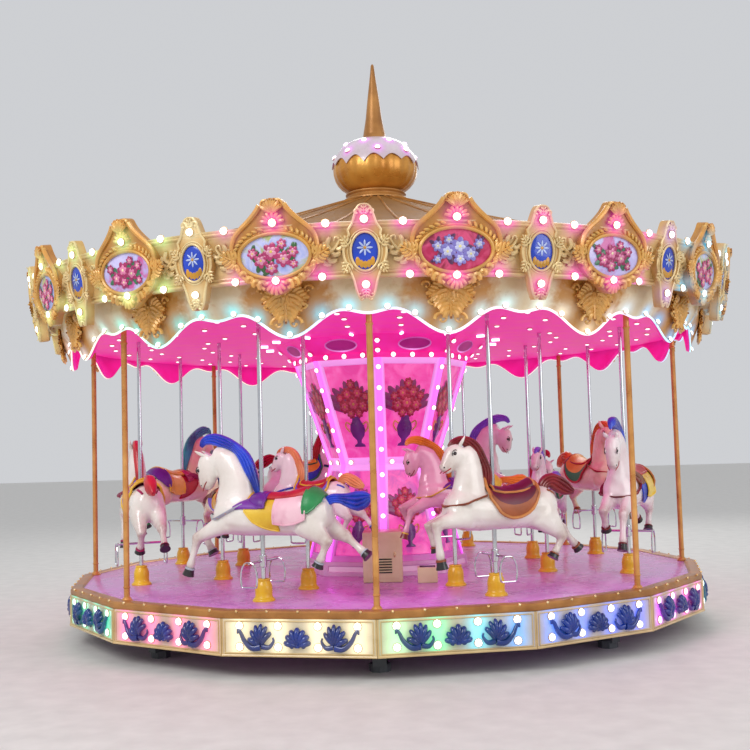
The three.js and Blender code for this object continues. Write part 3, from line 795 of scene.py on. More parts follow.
def acanthus(length, lobes, width):
    # a leaf that rises from the origin along Z: midrib and paired hooked lobes
    bm = bmesh.new()
    spine = [(0, -0.004, 0), (0, -0.012, length * 0.4), (0, -0.014, length * 0.8), (0, -0.022, length),
             (0, -0.026, length * 0.93)]
    sweep(bm, smoothLine(spine, 2), taper(9, length * 0.075, 0.45))
    for k in range(lobes):
        share = k / lobes
        z = length * (0.06 + 0.8 * share)
        reach = length * width * (1 - share) ** 0.6
        for side in (-1, 1):
            leaflet(bm, (0, z), (side * reach, z + length * 0.24), -side * 0.16, length * 0.105)
    return asMesh(bm)


def volute(radius, turnBack, thick):
    # a C-scroll that starts at the origin's right and rolls in
    bm = bmesh.new()
    line = spiral(0, 0, radius, radius * 0.22, 0, turnBack, 14, -0.008)
    sweep(bm, line, taper(15, thick, 0.55))
    blob(bm, (line[-1][0], -0.01, line[-1][2]), (thick * 0.9,) * 3, 0, (7, 5))
    return asMesh(bm)


def bigCartouche():
    s = bigSizes
    bm = bmesh.new()
    line = smoothLine([(x, 0, z) for x, z in mirroredLine(s["half"])], 2, closed=True)
    plate(bm, [(p.x, p.z) for p in line], -crownSizes["plate"][2], 0.0, 2, 0.006, 0.027)
    a, b = s["oval"]
    ring(bm, a, b, (0.012, 0.014), 1, 44, -0.008)
    ring(bm, a + 0.017, b + 0.017, 0.0055, 0, 44, -0.002, 5)
    bead = bmesh.new()
    blob(bead, (0, 0, 0), (0.0108, 0.0175, 0.0222), 0, (6, 4), [(math.radians(-50), "Y")])
    bead = asMesh(bead)
    for k in range(s["beads"]):
        angle = fullTurn * k / s["beads"]
        if abs(math.cos(angle)) < 0.2:
            continue
        put(bm, bead, at((a + 0.034) * math.cos(angle), -0.005, (b + 0.034) * math.sin(angle),
                         (math.pi / 2 - angle, "Y")))
    for side in (-1, 1):
        edge = [(side * x, -0.006, z) for x, z in s["half"][3:12]]
        sweep(bm, smoothLine(edge, 2), taper(17, 0.019, 0.65), 7)
        low = [(side * x * 0.97, -0.005, z * 0.97) for x, z in s["half"][11:17]]
        sweep(bm, smoothLine(low, 2), taper(11, 0.014, 0.8))
        for k in range(4):
            x, z = 0.064 + 0.04 * k, -0.19 + 0.006 * k * k
            tip = (side * (x + 0.046), z - 0.012 + 0.012 * k)
            leaflet(bm, (side * x, z + 0.034), tip, side * 0.35, 0.018)
        put(bm, volute(0.034, 300, 0.014), at(side * 0.046, 0, 0.312) @ scaled(-side, 1, 1))
        put(bm, volute(0.028, 260, 0.012), at(side * 0.262, 0, 0.02) @ scaled(side, 1, -1),
            at(side * 0.248, 0, -0.066) @ scaled(side, 1, 1))
        put(bm, acanthus(0.105, 4, 0.6), at(side * 0.255, 0, -0.02, (side * math.radians(64), "Y")))
    for k in range(7):  # shell of the crest
        angle = math.radians(30 + 20 * k)
        tip = (0.078 * math.cos(angle), 0.262 + 0.084 * math.sin(angle))
        leaflet(bm, (0, 0.262), tip, 0.0, 0.015, 0, 0.026)
    rays = ((12, 0.03, 0.076, 0.066, 0.0125), (192, 0.028, 0.072, 0.088, 0.0135))
    for k in range(7):  # rays over the upper lamp, and petals round the lower one
        for z, (start, inner, wide, high, thick) in zip(s["bulbs"], rays):
            angle = math.radians(start + 26 * k)
            leaflet(bm, (inner * math.cos(angle), z + 0.028 * math.sin(angle)),
                    (wide * math.cos(angle), z + high * math.sin(angle)), 0.0, thick)
    return asMesh(bm)


def smallCartouche():
    s = smallSizes
    bm = bmesh.new()
    line = smoothLine([(x, -0.004, z) for x, z in mirroredLine(s["half"])], 2, closed=True)
    plate(bm, [(p.x, p.z) for p in line], -crownSizes["plate"][2], 0.0, 1, 0.006, 0.027)
    sweep(bm, [(p.x * 0.95, p.y, p.z * 0.975) for p in line], 0.0085, closed=True, upright=(0, 1, 0))
    a, b = s["oval"]
    ring(bm, a + 0.006, b + 0.006, (0.008, 0.01), 0, 32, -0.005)
    ring(bm, a + 0.023, b + 0.022, 0.004, 0, 32, -0.002, 5)
    for side in (-1, 1):
        put(bm, volute(0.026, 280, 0.009), at(side * 0.044, 0, 0.236) @ scaled(-side, 1, 1))
        put(bm, volute(0.022, 260, 0.008), at(side * 0.036, 0, -0.262) @ scaled(-side, 1, -1))
        put(bm, acanthus(0.07, 3, 0.55), at(side * 0.1, 0, 0.04, (side * math.radians(38), "Y")),
            at(side * 0.098, 0, -0.07, (side * math.radians(150), "Y")))
    put(bm, acanthus(0.06, 3, 0.5), at(0, 0, 0.226), at(0, -0.002, -0.226, (math.pi, "Y")))
    return asMesh(bm)


def reliefSpray():
    # foliage on the cove beside a large cartouche, growing to the right
    bm = bmesh.new()
    stem = smoothLine([(-0.04, -0.004, -0.05), (0.005, -0.01, -0.012), (0.048, -0.01, 0.02),
                       (0.078, -0.008, 0.072), (0.052, -0.01, 0.088), (0.044, -0.01, 0.064)], 3)
    sweep(bm, stem, taper(16, 0.015, 0.4))
    for x, z, tipX, tipZ, bend in ((-0.03, -0.04, -0.05, 0.03, 0.3), (0.0, -0.015, -0.022, 0.062, 0.3),
                                   (0.03, 0.005, 0.016, 0.092, 0.3), (0.02, 0.0, 0.086, -0.012, -0.3),
                                   (-0.01, -0.03, 0.06, -0.06, -0.3), (-0.03, -0.045, 0.02, -0.086, -0.3),
                                   (0.05, 0.024, 0.104, 0.03, -0.3)):
        leaflet(bm, (x, z), (tipX, tipZ), bend, 0.017)
    return asMesh(bm)


def rosette(size, petals=6):
    # a painted rose in low relief: outer petals, inner petals and a heart
    bm = bmesh.new()
    for count, reach, big, slot in ((petals, 0.62, 0.44, 0), (petals - 1, 0.32, 0.32, 1)):
        for k in range(count):
            angle = fullTurn * (k + 0.3 * slot) / count
            x, z = size * reach * math.cos(angle), size * reach * math.sin(angle)
            blob(bm, (x, -0.001 - 0.002 * slot, z), (size * big, 0.0035, size * big * 0.8), slot, (8, 5),
                 [(-angle, "Y")])
    blob(bm, (0, -0.004, 0), (size * 0.2, 0.004, size * 0.2), 2, (7, 5))
    return asMesh(bm)


def paintedLeaf(length):
    bm = bmesh.new()
    blob(bm, (0, -0.001, length / 2), (length * 0.22, 0.0025, length / 2), 3, (8, 6))
    return asMesh(bm)


# screen-printed flower panel under varnish: soft colour fields with crisp painted petals
def printedField(name, inner, outer, rim, glow):
    material, tree, shader, place = startMaterial(name, inner, 0.25, Coat_Weight=0.4)
    cloudy = addNode(tree, "TexNoise", {"Vector": place, "Scale": 9.0, "Detail": 4.0, "Distortion": 0.6})
    fields = addNode(tree, "ValToRGB", {"Fac": cloudy.outputs["Fac"]},
                     [(0.36, inner), (0.52, outer), (0.64, rim)])
    canvas = addNode(tree, "TexNoise", {"Vector": place, "Scale": 220.0, "Detail": 2.0})
    tree.links.new(fields.outputs["Color"], shader.inputs["Base Color"])
    emboss(tree, shader, canvas.outputs["Fac"], 0.4, 0.0005)
    # painted glow: the print gives off its own colours though it is no lamp
    shine(tree, shader, fields.outputs["Color"], glow)
    return material


pictureKinds = [  # field colours, then petals, inner petals, heart and leaves
    (("#8f9fd8", "#b9bce6", "#a8b06a"), ("#c83a78", "#f2a0c0", "#f6d860", "#3c6a3a")),
    (("#b02050", "#d04a78", "#8c1c3c"), ("#8a80d0", "#cfd0f4", "#f4e8a0", "#5a2a5c")),
    (("#c8c0ea", "#b4aee0", "#c25a9c"), ("#b02468", "#ee88b4", "#fff0c0", "#3f7a58")),
]
pictureOrder = (1, 2, 0, 1, 2, 0, 1, 2, 0, 1, 2, 0, 1, 0, 2, 0)  # from the first sector right of the front


def ovalBoard(bm, a, b, depth, steps):
    # a domed oval board in the face of a plate
    bmesh.ops.create_uvsphere(bm, u_segments=steps, v_segments=6, radius=1.0,
                              matrix=at(0, 0.0005, 0, (math.pi / 2, "X")) @ scaled(a, b, depth))


def ovalPicture(kind):
    # oval board with a bunch of painted roses
    bm = bmesh.new()
    a, b = bigSizes["oval"]
    ovalBoard(bm, a - 0.004, b - 0.004, 0.007, 36)
    markFrom(bm, 0, 4)
    rng = random.Random(11 + kind)
    bunch = [(-0.088, -0.024, 0.046), (-0.02, 0.024, 0.056), (0.058, -0.012, 0.05), (-0.022, -0.064, 0.042),
             (0.118, 0.026, 0.036), (-0.14, 0.026, 0.034), (0.05, 0.07, 0.032), (0.12, -0.05, 0.028)]
    for x, z, size in bunch:
        x, z = x * (1 if kind != 1 else -1), z + 0.012 * rng.uniform(-1, 1)
        for _ in range(3):
            put(bm, paintedLeaf(size * 1.7), at(x, -0.0075, z, (rng.uniform(0, fullTurn), "Y")))
        put(bm, rosette(size), at(x, -0.0105, z, (rng.uniform(0, 1), "Y")))
    return asMesh(bm)


def paint(name, code, roughness=0.3):
    channels = [int(code[i:i + 2], 16) for i in (1, 3, 5)]
    shade = "#" + "".join(f"{int(c * 0.8):02x}" for c in channels)
    return glossPaint(name, code, shade, roughness)


def makeCrown():
    s = crownSizes
    places = [place @ at(0, -0.012, z) for place in bigPlaces for z in bigSizes["bulbs"]]
    places += [place @ at(0, -0.008, z) for place in smallPlaces for z in smallSizes["bulbs"]]
    for i in range(sectors):
        for height, turnTo in (s["topBulbs"], s["bottomBulbs"]):
            for side in (-1, 1):
                angle = i * sectorTurn + side * math.radians(turnTo)
                places.append(spot(angle, bandRadius(height) + 0.006, height))
    lightUp(places, "crown")
    bm = bmesh.new()
    turn(bm, bandOutline(), s["steps"])
    settle(bm)
    spray = reliefSpray()
    lean = math.atan2(s["head"][0] - s["foot"][0], s["head"][1] - s["foot"][1])
    height, turnTo, size = s["spray"]
    for i in range(sectors):
        for side in (-1, 1):
            angle = (i + 0.5) * sectorTurn + side * math.radians(turnTo)
            place = spot(angle, bandRadius(height) - 0.02, height, lean)
            put(bm, spray, place @ scaled(side * size, 1.1, size))
    makePiece("crownBand", bm, [creamGilt], "crown_cream", ["crown"], sharp=45, glowing=0.062)
    makeCopies("largeCartouches", bigCartouche(), bigPlaces, [tanGilt, amberGilt, plateGold], "crown_cream",
               sharp=45, glowing=0.068)
    makeCopies("smallCartouches", smallCartouche(), smallPlaces, [creamGilt, platePale], "crown_cream",
               sharp=45, glowing=0.062)
    makeLamps("crownLamps", places, s["bulb"], lampWhite)
    for kind, (fields, petals) in enumerate(pictureKinds):
        own = [place for place, chosen in zip(bigPlaces, pictureOrder) if chosen == kind]
        paints = [paint(f"enamelPetal{kind}{k}", code) for k, code in enumerate(petals)]
        paints.append(printedField(f"varnishedPrint{kind}", *fields, glow=0.12))
        makeCopies(f"flowerPictures{kind + 1}", ovalPicture(kind), own, paints, "crown_cream", sharp=60)
    makeMedallions()


def makeMedallions():
    # blue ovals of the small cartouches, with a plain eight-petalled flower over a golden foot
    shape = bmesh.new()
    ovalBoard(shape, *smallSizes["oval"], 0.009, 28)
    for k in range(8):
        angle = fullTurn * k / 8
        middle = (0.028 * math.sin(angle), -0.01, 0.022 + 0.028 * math.cos(angle))
        blob(shape, middle, (0.0065, 0.003, 0.021), 1, (7, 5), [(angle, "Y")])
    blob(shape, (0, -0.011, 0.022), (0.01, 0.004, 0.01), 2, (8, 5))
    for x in (-2, -1, 0, 1, 2):
        blob(shape, (0.022 * x, -0.0045, -0.074 + 0.004 * x * x), (0.016, 0.0035, 0.03), 2, (8, 5))
    paints = [paint("cobaltEnamel", "#2448c8", 0.15), paint("paleEnamel", "#b8c8f4", 0.2),
              paint("goldEnamel", "#d89a2c", 0.25)]
    makeCopies("blueMedallions", asMesh(shape), smallPlaces, paints, "crown_cream", sharp=60)


makeCrown()


print("valance")
valanceSizes = {
    "top": (2.655, 2.506), "waist": (2.64, 0.45), "tips": 2.56, "arch": 2.306, "drop": 2.142,
    "smallDrop": 0.026, "dropShare": 0.34, "thickness": 0.022, "columns": 28, "rows": 10,
    "strip": 0.006, "stripSteps": 40, "bulbShares": (0.5, 0.29, 0.71, 0.12, 0.88), "bulb": (0.02, 0.022),
}


def valanceEdge(share):
    # height of the scalloped edge at a place in a sector, 0 to 1
    s = valanceSizes
    away = abs(share - 0.5)
    if away < s["dropShare"]:
        return s["arch"] - (s["arch"] - s["drop"]) * 0.5 * (1 + math.cos(math.pi * away / s["dropShare"]))
    inside = (away - s["dropShare"]) / (0.5 - s["dropShare"])
    return s["arch"] - s["smallDrop"] * 0.5 * (1 - math.cos(math.pi * inside))


def onValance(sector, share, drop, lift=0.0):
    # a point of the outer face; drop runs from 0 at the top to 1 at the edge
    s = valanceSizes
    radius = np.interp(drop, (0, s["waist"][1], 1), (s["top"][0], s["waist"][0], s["tips"]))
    height = s["top"][1] - drop * (s["top"][1] - valanceEdge(share))
    angle = (sector + share) * sectorTurn
    radius = float(radius) + lift
    return Vector((radius * math.sin(angle), -radius * math.cos(angle), height))


def makeValance():
    s = valanceSizes
    bulbs = []
    for i in range(sectors):
        for share in s["bulbShares"]:
            point = onValance(i, share, 0.94 if share == 0.5 else 0.92, 0.004)
            bulbs.append(spot((i + share) * sectorTurn, point.xy.length, point.z, -0.35))
    lightUp(bulbs, "valance")
    bm = bmesh.new()
    count = sectors * s["columns"]
    grid = bmesh.ops.create_grid(bm, x_segments=count, y_segments=s["rows"], size=0.5)["verts"]
    for vert in grid:
        place = (vert.co.x + 0.5) * sectors
        sector = min(int(place), sectors - 1)
        vert.co = onValance(sector, place - sector, 0.5 - vert.co.y)
    settle(bm, 1e-4)
    face = bm.faces[:][0]
    if face.normal.dot(Vector((*face.calc_center_median().xy, 0))) < 0:
        bmesh.ops.reverse_faces(bm, faces=bm.faces)
    bmesh.ops.solidify(bm, geom=bm.faces, thickness=s["thickness"])
    settle(bm)
    for face in bm.faces:
        outward = face.normal.dot(Vector((*face.calc_center_median().xy, 0)).normalized())
        face.material_index = 1 if outward < -0.3 else 0
    valance = makePiece("valanceScallops", bm, [valanceCream, panelMagenta], "crown_cream", ["valance"],
                        sharp=50, glowing=0.058)
    gilding = []
    for vert in valance.data.vertices:  # gold is sponged over each large drop
        share = math.atan2(vert.co.x, -vert.co.y) / sectorTurn % 1
        away, fall = (share - 0.5) / s["dropShare"], (vert.co.z - s["arch"]) / (s["top"][1] - s["drop"])
        gilding.append(max(0.0, 1 - abs(away) ** 3 - 0.5 * fall * fall))
    valance.data.attributes.new("gilding", "FLOAT", "POINT").data.foreach_set("value", gilding)
    bm = bmesh.new()
    leaf, side = acanthus(0.165, 6, 0.66), acanthus(0.15, 5, 0.5)
    scrolls = ((volute(0.034, 300, 0.01), 0.15, -0.012, 1), (volute(0.03, 300, 0.01), 0.11, -0.105, -1),
               (volute(0.048, 330, 0.012), 0.056, -0.222, 1))
    for i in range(sectors):
        top = onValance(i, 0.5, 0.16, 0.003)
        place = spot((i + 0.5) * sectorTurn, top.xy.length, top.z, 0.1)
        put(bm, leaf, place @ at(0, 0, -0.03, (math.pi, "Y")) @ scaled(1.15, 1, 1.15))
        for way in (-1, 1):
            put(bm, side, place @ at(way * 0.02, 0, -0.02, (way * math.radians(118), "Y")),
                place @ at(way * 0.03, 0, -0.06, (way * math.radians(150), "Y")) @ scaled(0.8, 0.9, 0.8))
            for scroll, x, z, flip in scrolls:
                put(bm, scroll, place @ at(way * x, 0, z) @ scaled(way, 1, flip))
    makePiece("valanceLeaves", bm, [tanGilt], "crown_cream", sharp=50, glowing=0.05)
    bm = bmesh.new()
    steps = s["stripSteps"]
    line = [onValance(i, k / steps, 0.985, 0.006) for i in range(sectors) for k in range(steps)]
    sweep(bm, line, (s["strip"], s["strip"] * 1.5), closed=True, upright=(0, 0, 1))
    makePiece("valanceStrip", bm, [stripLight], "post_gilt", sharp=60, glowing=0.35)
    makeLamps("valanceLamps", bulbs, s["bulb"], lampWhite)


# silicone light strip: milky, evenly lit, takes its colour from the lamps beside it
def siliconeStrip(name, strength):
    material, tree, shader, place = startMaterial(name, "#f4f2f0", 0.4)
    shine(tree, shader, addNode(tree, "Attribute", attribute_name="glow").outputs["Color"], strength)
    addSurface(tree, shader, place, 0.004, 0.0002, ("#e8e4e0", "#fbf8f4"))
    return material


# cream gel coat with gold sponged on, denser where the "gilding" attribute is high
def spongedCream():
    material, tree, shader, place = startMaterial("spongedCream", "#eddfc0", 0.32, Coat_Weight=0.3)
    drift = addSurface(tree, shader, place, 0.006, 0.0004, ("#dec89c", "#f2e4c4"))
    gild = addNode(tree, "Attribute", attribute_name="gilding")
    sponge = addNode(tree, "TexNoise", {"Vector": place, "Scale": 22.0, "Detail": 6.0})
    both = addNode(tree, "Math", {0: gild.outputs["Fac"], 1: sponge.outputs["Fac"]}, operation="ADD")
    cover = addNode(tree, "MapRange", {"Value": both.outputs[0], "From Min": 0.6, "From Max": 1.15})
    addGlow(tree, shader, mixed(tree, cover.outputs["Result"], drift, toLinear("#c68c40")), 0.9)
    return material


# acrylic diffuser over a light strip: even, slightly milky
def diffuser(name, colour, strength):
    material, tree, shader, place = startMaterial(name, colour, 0.35)
    addSurface(tree, shader, place, 0.004, 0.0002, (colour, colour))
    shader.inputs["Emission Color"].default_value = toLinear(colour)
    shader.inputs["Emission Strength"].default_value = strength
    return material


valanceCream = spongedCream()
stripLight = siliconeStrip("siliconeStrip", 0.9)
makeValance()


print("roof and finial")
roofSizes = {"edge": (2.803, 2.772), "middle": (1.534, 3.141), "top": (0.262, 3.57), "thickness": 0.013,
             "ribs": 32, "rib": 0.01, "steps": 96}
finialSizes = {
    "collar": [(0, 3.5705), (0.284, 3.5705), (0.285, 3.58), (0.28, 3.588), (0.27, 3.594), (0.254, 3.6),
               (0.248, 3.61), (0.25, 3.618), (0.26, 3.624), (0.264, 3.632), (0.262, 3.64), (0.25, 3.645),
               (0, 3.645)],
    "ball": [(0.205, 3.6455), (0.256, 3.664), (0.3, 3.695), (0.332, 3.732), (0.353, 3.772), (0.364, 3.814),
             (0.366, 3.85), (0.362, 3.892), (0.35, 3.935), (0.328, 3.978), (0.295, 4.02), (0.25, 4.06),
             (0.195, 4.09), (0.15, 4.104), (0.1, 4.1135)],
    "top": 4.1135, "crest": 4.114, "flutes": 24, "teeth": 14, "toothTip": 3.842, "toothTop": 3.915,
    "capLift": 0.009, "capLevels": 12, "lamps": 16, "lamp": (0.024, 0.026), "lampHeight": (3.962, 0.088),
    "spire": [(0, 4.1155), (0.112, 4.1155), (0.116, 4.122), (0.11, 4.132), (0.1, 4.144), (0.096, 4.17),
              (0.087, 4.22), (0.078, 4.27), (0.07, 4.32), (0.062, 4.39), (0.055, 4.45), (0.046, 4.525),
              (0.036, 4.6), (0.027, 4.67), (0.019, 4.735), (0.014, 4.786), (0.006, 4.8), (0, 4.8)],
}


def roofLine(steps):
    # the hollow slope from the edge to the top
    a, b, c = (Vector((*roofSizes[k], 0)) for k in ("edge", "middle", "top"))
    return [(p.x, p.y) for p in smoothLine([a, b, c], steps)]


def makeRoof():
    s = roofSizes
    outer = roofLine(7)
    inner = [(r - 0.005, z - s["thickness"]) for r, z in reversed(outer)]
    bm = bmesh.new()
    turn(bm, outer + inner, s["steps"])
    settle(bm)
    for k in range(s["ribs"]):
        angle = fullTurn * (k + 0.5) / s["ribs"]
        line = [((r - 0.012) * math.sin(angle), -(r - 0.012) * math.cos(angle), z + 0.003) for r, z in outer]
        sweep(bm, line, (s["rib"], s["rib"] * 1.2), 6, material=1, upright=(0, 0, 1))
    makePiece("roofPanels", bm, [roofGold, bronzePaint], "roof_bronze", ["roof"], sharp=40)


def ballRadius(height):
    radii, heights = zip(*finialSizes["ball"])
    return float(np.interp(height, heights, radii))


def makeFinial():
    s = finialSizes
    makeCopies("finialRings", turned(s["collar"], 64), [still], [bronzePaint], "roof_bronze",
               ["finial_collar"])
    bm = bmesh.new()
    steps = s["flutes"] * 6
    turn(bm, [(0, s["ball"][0][1])] + s["ball"] + [(0, s["crest"])], steps, closed=False)
    bmesh.ops.remove_doubles(bm, verts=bm.verts, dist=1e-5)
    for vert in bm.verts:
        flute = abs(math.sin(math.atan2(vert.co.y, vert.co.x) * s["flutes"] / 2))
        grow = 1 - 0.016 * (1 - flute) * min(1, vert.co.xy.length / 0.2)
        vert.co = Vector((vert.co.x * grow, vert.co.y * grow, vert.co.z))
    settle(bm)
    makePiece("finialBall", bm, [giltBall], "finial_gilt", ["finial_ball"], sharp=50)
    places = []
    for k in range(s["lamps"]):
        angle = fullTurn * (k + 0.25) / s["lamps"]
        height = s["lampHeight"][0] + s["lampHeight"][1] * (k % 2)
        places.append(spot(angle, ballRadius(height) + 0.01, height, -0.9))
    lightUp(places, colour="#e060f0")
    bm = bmesh.new()
    levels = s["capLevels"]
    heights = [s["top"] - (s["top"] - s["toothTop"]) * k / levels for k in range(levels + 1)]
    profile = [(0.1 if k == 0 else ballRadius(z) + s["capLift"], z + (s["capLift"] if k < 6 else 0.0))
               for k, z in enumerate(heights)]
    turn(bm, profile, s["teeth"] * 12, closed=False)
    bmesh.ops.remove_doubles(bm, verts=bm.verts, dist=1e-5)
    for vert in bm.verts:
        share = (s["top"] - vert.co.z) / (s["top"] - s["toothTop"])
        angle = math.atan2(vert.co.y, vert.co.x)
        tooth = (1 - abs(math.sin(angle * s["teeth"] / 2))) * (0.78 + 0.22 * math.sin(3 * angle + 1))
        height = vert.co.z - max(0, share - 0.4) / 0.6 * tooth * (s["toothTop"] - s["toothTip"])
        if share > 0.4:
            radius = ballRadius(height) + s["capLift"] + 0.004 * share
            vert.co = Vector((*(vert.co.xy.normalized() * radius), height))
    settle(bm)
    bmesh.ops.solidify(bm, geom=bm.faces, thickness=0.008)
    settle(bm)
    makePiece("finialIcing", bm, [whiteIcing], "finial_gilt", sharp=50, glowing=0.05)
    makeLamps("finialLamps", places, s["lamp"], lampWhite)
    makeCopies("finialSpire", turned(s["spire"], 32), [still], [bronzePaint], "roof_bronze",
               ["finial_spire"])


# fibreglass with gold lacquer: warm, glossy, a little uneven
roofGold = goldPaint("goldLacquer", "#86581f", "#98682c", 0.15, 0.68)
giltBall = goldPaint("leafGold", "#c07c2c", "#e4a84c", 0.35, 0.3)
makeRoof()
makeFinial()


print("ceiling lamps and column")
ceilingSizes = {"rows": ((1.5, 24), (1.95, 32), (2.25, 32)), "lamp": (0.02, 0.018), "tubes": (0.965, 1.03),
                "tubeCount": 16, "height": ceilingLow - 0.001}
columnSizes = {
    "plinth": (0.7, 0.68, deckTop + 0.0005, 0.53), "lower": (0.65, 0.457, 0.5303, 1.308),
    "upper": (0.457, 0.735, 1.3083, 2.158), "band": (0.77, 0.77, 2.1583, 2.1985),
    "flare": (0.76, 0.905, 2.1985, 2.3315),
    "strip": 0.03, "oval": (0.138, 0.062), "bulb": (0.021, 0.02), "bulbStep": 0.164,
    "bulbRuns": {"upper": (2.085, 5), "lower": (1.22, 3)},  # height of the first and number, at each corner
    "flareBulbs": (2.215, 2.285), "topRow": (-0.165, 0, 0.165), "waistRow": (-0.095, 0.095),
}


def tier(bm, size, rim, depth, frameSlot, panelSlot):
    # eight-sided stage with sunk panels; corners in line with the posts
    lowRadius, highRadius, low, high = size
    first = len(bm.faces)
    loops = []
    for radius, height in ((lowRadius, low), (highRadius, high)):
        verts = bmesh.ops.create_circle(bm, segments=bays, radius=radius, matrix=at(0, 0, height))["verts"]
        loops.append((verts, list({e for v in verts for e in v.link_edges})))
    sides = bmesh.ops.bridge_loops(bm, edges=loops[0][1] + loops[1][1])["faces"]
    for verts, _ in loops:
        bm.faces.new(verts)
    bmesh.ops.recalc_face_normals(bm, faces=bm.faces[first:])
    markFrom(bm, first, frameSlot)
    if rim:
        bmesh.ops.inset_individual(bm, faces=sides, thickness=rim, depth=0.0, use_even_offset=True)
        bmesh.ops.inset_individual(bm, faces=sides, thickness=0.008, depth=-depth, use_even_offset=True)
        for face in sides:
            face.material_index = panelSlot


def faceSpot(size, face, height, proud):
    # a place on a face of a tier: X along the face, Z up its slope
    lowRadius, highRadius, low, high = size
    share = (height - low) / (high - low)
    flat = math.cos(bayTurn / 2)
    radius = (lowRadius + (highRadius - lowRadius) * share) * flat
    lean = math.atan2((highRadius - lowRadius) * flat, high - low)
    return spot((face + 0.5) * bayTurn, radius, height, lean) @ at(0, -proud, 0)


def cornerSpot(size, corner, height, proud):
    # a place on a corner of a tier
    lowRadius, highRadius, low, high = size
    share = (height - low) / (high - low)
    lean = math.atan2(highRadius - lowRadius, high - low)
    return spot(corner * bayTurn, lowRadius + (highRadius - lowRadius) * share + proud, height, lean)


def vaseOfRoses():
    # panel motif: a footed vase with a bunch of roses and long leaves, 0.3 wide and 0.52 high
    bm = bmesh.new()
    outline = [(0, 0.0), (0.044, 0.0), (0.04, 0.012), (0.016, 0.026), (0.018, 0.044), (0.046, 0.072),
               (0.06, 0.112), (0.052, 0.148), (0.034, 0.17), (0.03, 0.188), (0.044, 0.2)]
    plate(bm, outline + [(-x, z) for x, z in reversed(outline[1:])], -0.004, 0.005, 4, 0.003)
    handle = ((0.052, 0.15), (0.082, 0.165), (0.09, 0.135), (0.062, 0.1))
    for side in (-1, 1):
        sweep(bm, smoothLine([(side * x, -0.004, z) for x, z in handle], 3), 0.0055, 5, material=2)
    rng = random.Random(23)
    for k in range(11):
        place = at(0, -0.001, 0.235, (math.radians(-75 + 15 * k), "Y"))
        put(bm, paintedLeaf(0.185 + 0.045 * rng.random()), place @ scaled(0.62, 1, 1))
    for x, z, size in ((0, 0.285, 0.058), (-0.072, 0.268, 0.046), (0.074, 0.27, 0.046), (-0.04, 0.35, 0.044),
                       (0.044, 0.354, 0.044), (0, 0.412, 0.036), (-0.102, 0.326, 0.032), (0.104, 0.33, 0.032),
                       (-0.03, 0.222, 0.034), (0.036, 0.224, 0.032)):
        put(bm, rosette(size, 7), at(x, -0.004, z, (rng.uniform(0, 1), "Y")))
    return asMesh(bm)


def makeColumn():
    s = columnSizes
    bulbs = []
    for k in range(bays):
        for name, (top, count) in s["bulbRuns"].items():
            bulbs += [cornerSpot(s[name], k, top - n * s["bulbStep"], 0.006) for n in range(count)]
        bulbs += [cornerSpot(s["flare"], k, z, 0.004) for z in s["flareBulbs"]]
        bulbs += [faceSpot(s["band"], k, 2.178, 0.001) @ at(x, 0, 0) for x in s["topRow"]]
        bulbs += [faceSpot(s["upper"], k, 1.33, 0.01) @ at(x, 0, 0) for x in s["waistRow"]]
    lightUp(bulbs, colour="#f6b8ff")
    stages = (  # paint of the frame and the panels, finish, and how wide and deep the panels are set in
        ("plinth", plinthLilac, plinthPanel, "column_cream", 0.028, 0.01),
        ("lower", stageLilac, lowerPrint, "column_pink", 0.046, 0.012),
        ("upper", stageLilac, upperPrint, "column_pink", 0.046, 0.012),
    )
    for name, framePaint, panel, finish, rim, depth in stages:
        bm = bmesh.new()
        tier(bm, s[name], rim, depth, 0, 1)
        low, high = s[name][2:]
        for k in range(bays) if name != "plinth" else ():  # light strips along the corners
            ends = [cornerSpot(s[name], k, z, 0.0).translation for z in (low + 0.002, high - 0.002)]
            line = [ends[0].lerp(ends[1], t / 24) for t in range(25)]
            sweep(bm, line, (s["strip"], 0.007), 6, material=2,
                  upright=(math.sin(k * bayTurn), -math.cos(k * bayTurn), 0))
        makePiece(f"{name}Stage", bm, [framePaint, panel, cornerGlow], finish, [f"column_{name}"], sharp=30,
                  glowing=0.07)
    places = []
    for k in range(bays):
        places += [faceSpot(s["upper"], k, 1.45, -0.009) @ scaled(1.1, 1, 1.28),
                   faceSpot(s["lower"], k, 0.64, -0.009) @ scaled(0.95, 1, 1.1)]
    paints = [paint(f"{name}Enamel", code) for name, code in (
        ("crimson", "#c0204c"), ("rose", "#ee5c86"), ("amber", "#f0c060"), ("leaf", "#a03a86"),
        ("plum", "#7a2a9c"))]
    makeCopies("panelRoses", vaseOfRoses(), places, paints, "column_pink", sharp=60)
    bm = bmesh.new()
    tier(bm, s["band"], 0, 0, 0, 0)
    tier(bm, s["flare"], 0, 0, 0, 0)
    a, b = s["oval"]
    oval = bmesh.new()
    ring(oval, a, b, (0.006, 0.008), 1, 32, -0.003)
    blob(oval, (0, 0, 0), (a, 0.007, b), 2, (24, 8))
    put(bm, asMesh(oval), *[faceSpot(s["flare"], k, 2.266, 0.0) for k in range(bays)])
    makePiece("corniceStage", bm, [panelMagenta, stageLilac, ovalMagenta], "cornice_magenta",
              ["column_cornice"], sharp=30, glowing=0.07)
    makeLamps("columnLamps", bulbs, s["bulb"], lampPink)


def makeCeilingLamps():
    s = ceilingSizes
    bm = bmesh.new()
    shape = lampShape(*s["lamp"])
    for radius, count in s["rows"]:
        for k in range(count):
            place = spot(fullTurn * (k + 0.5) / count, radius, s["height"])
            put(bm, shape, place @ at(0, 0, 0, (math.pi / 2, "X")))
    tube = bmesh.new()
    sweep(tube, [(0, -end, -0.012) for end in s["tubes"]], 0.011, 8, material=2)
    count = s["tubeCount"]
    put(bm, asMesh(tube), *[spot(fullTurn * (k + 0.5) / count, 0, s["height"]) for k in range(count)])
    makePiece("ceilingLamps", bm, [lampPink, lampBase, tubeLight], "post_gilt")


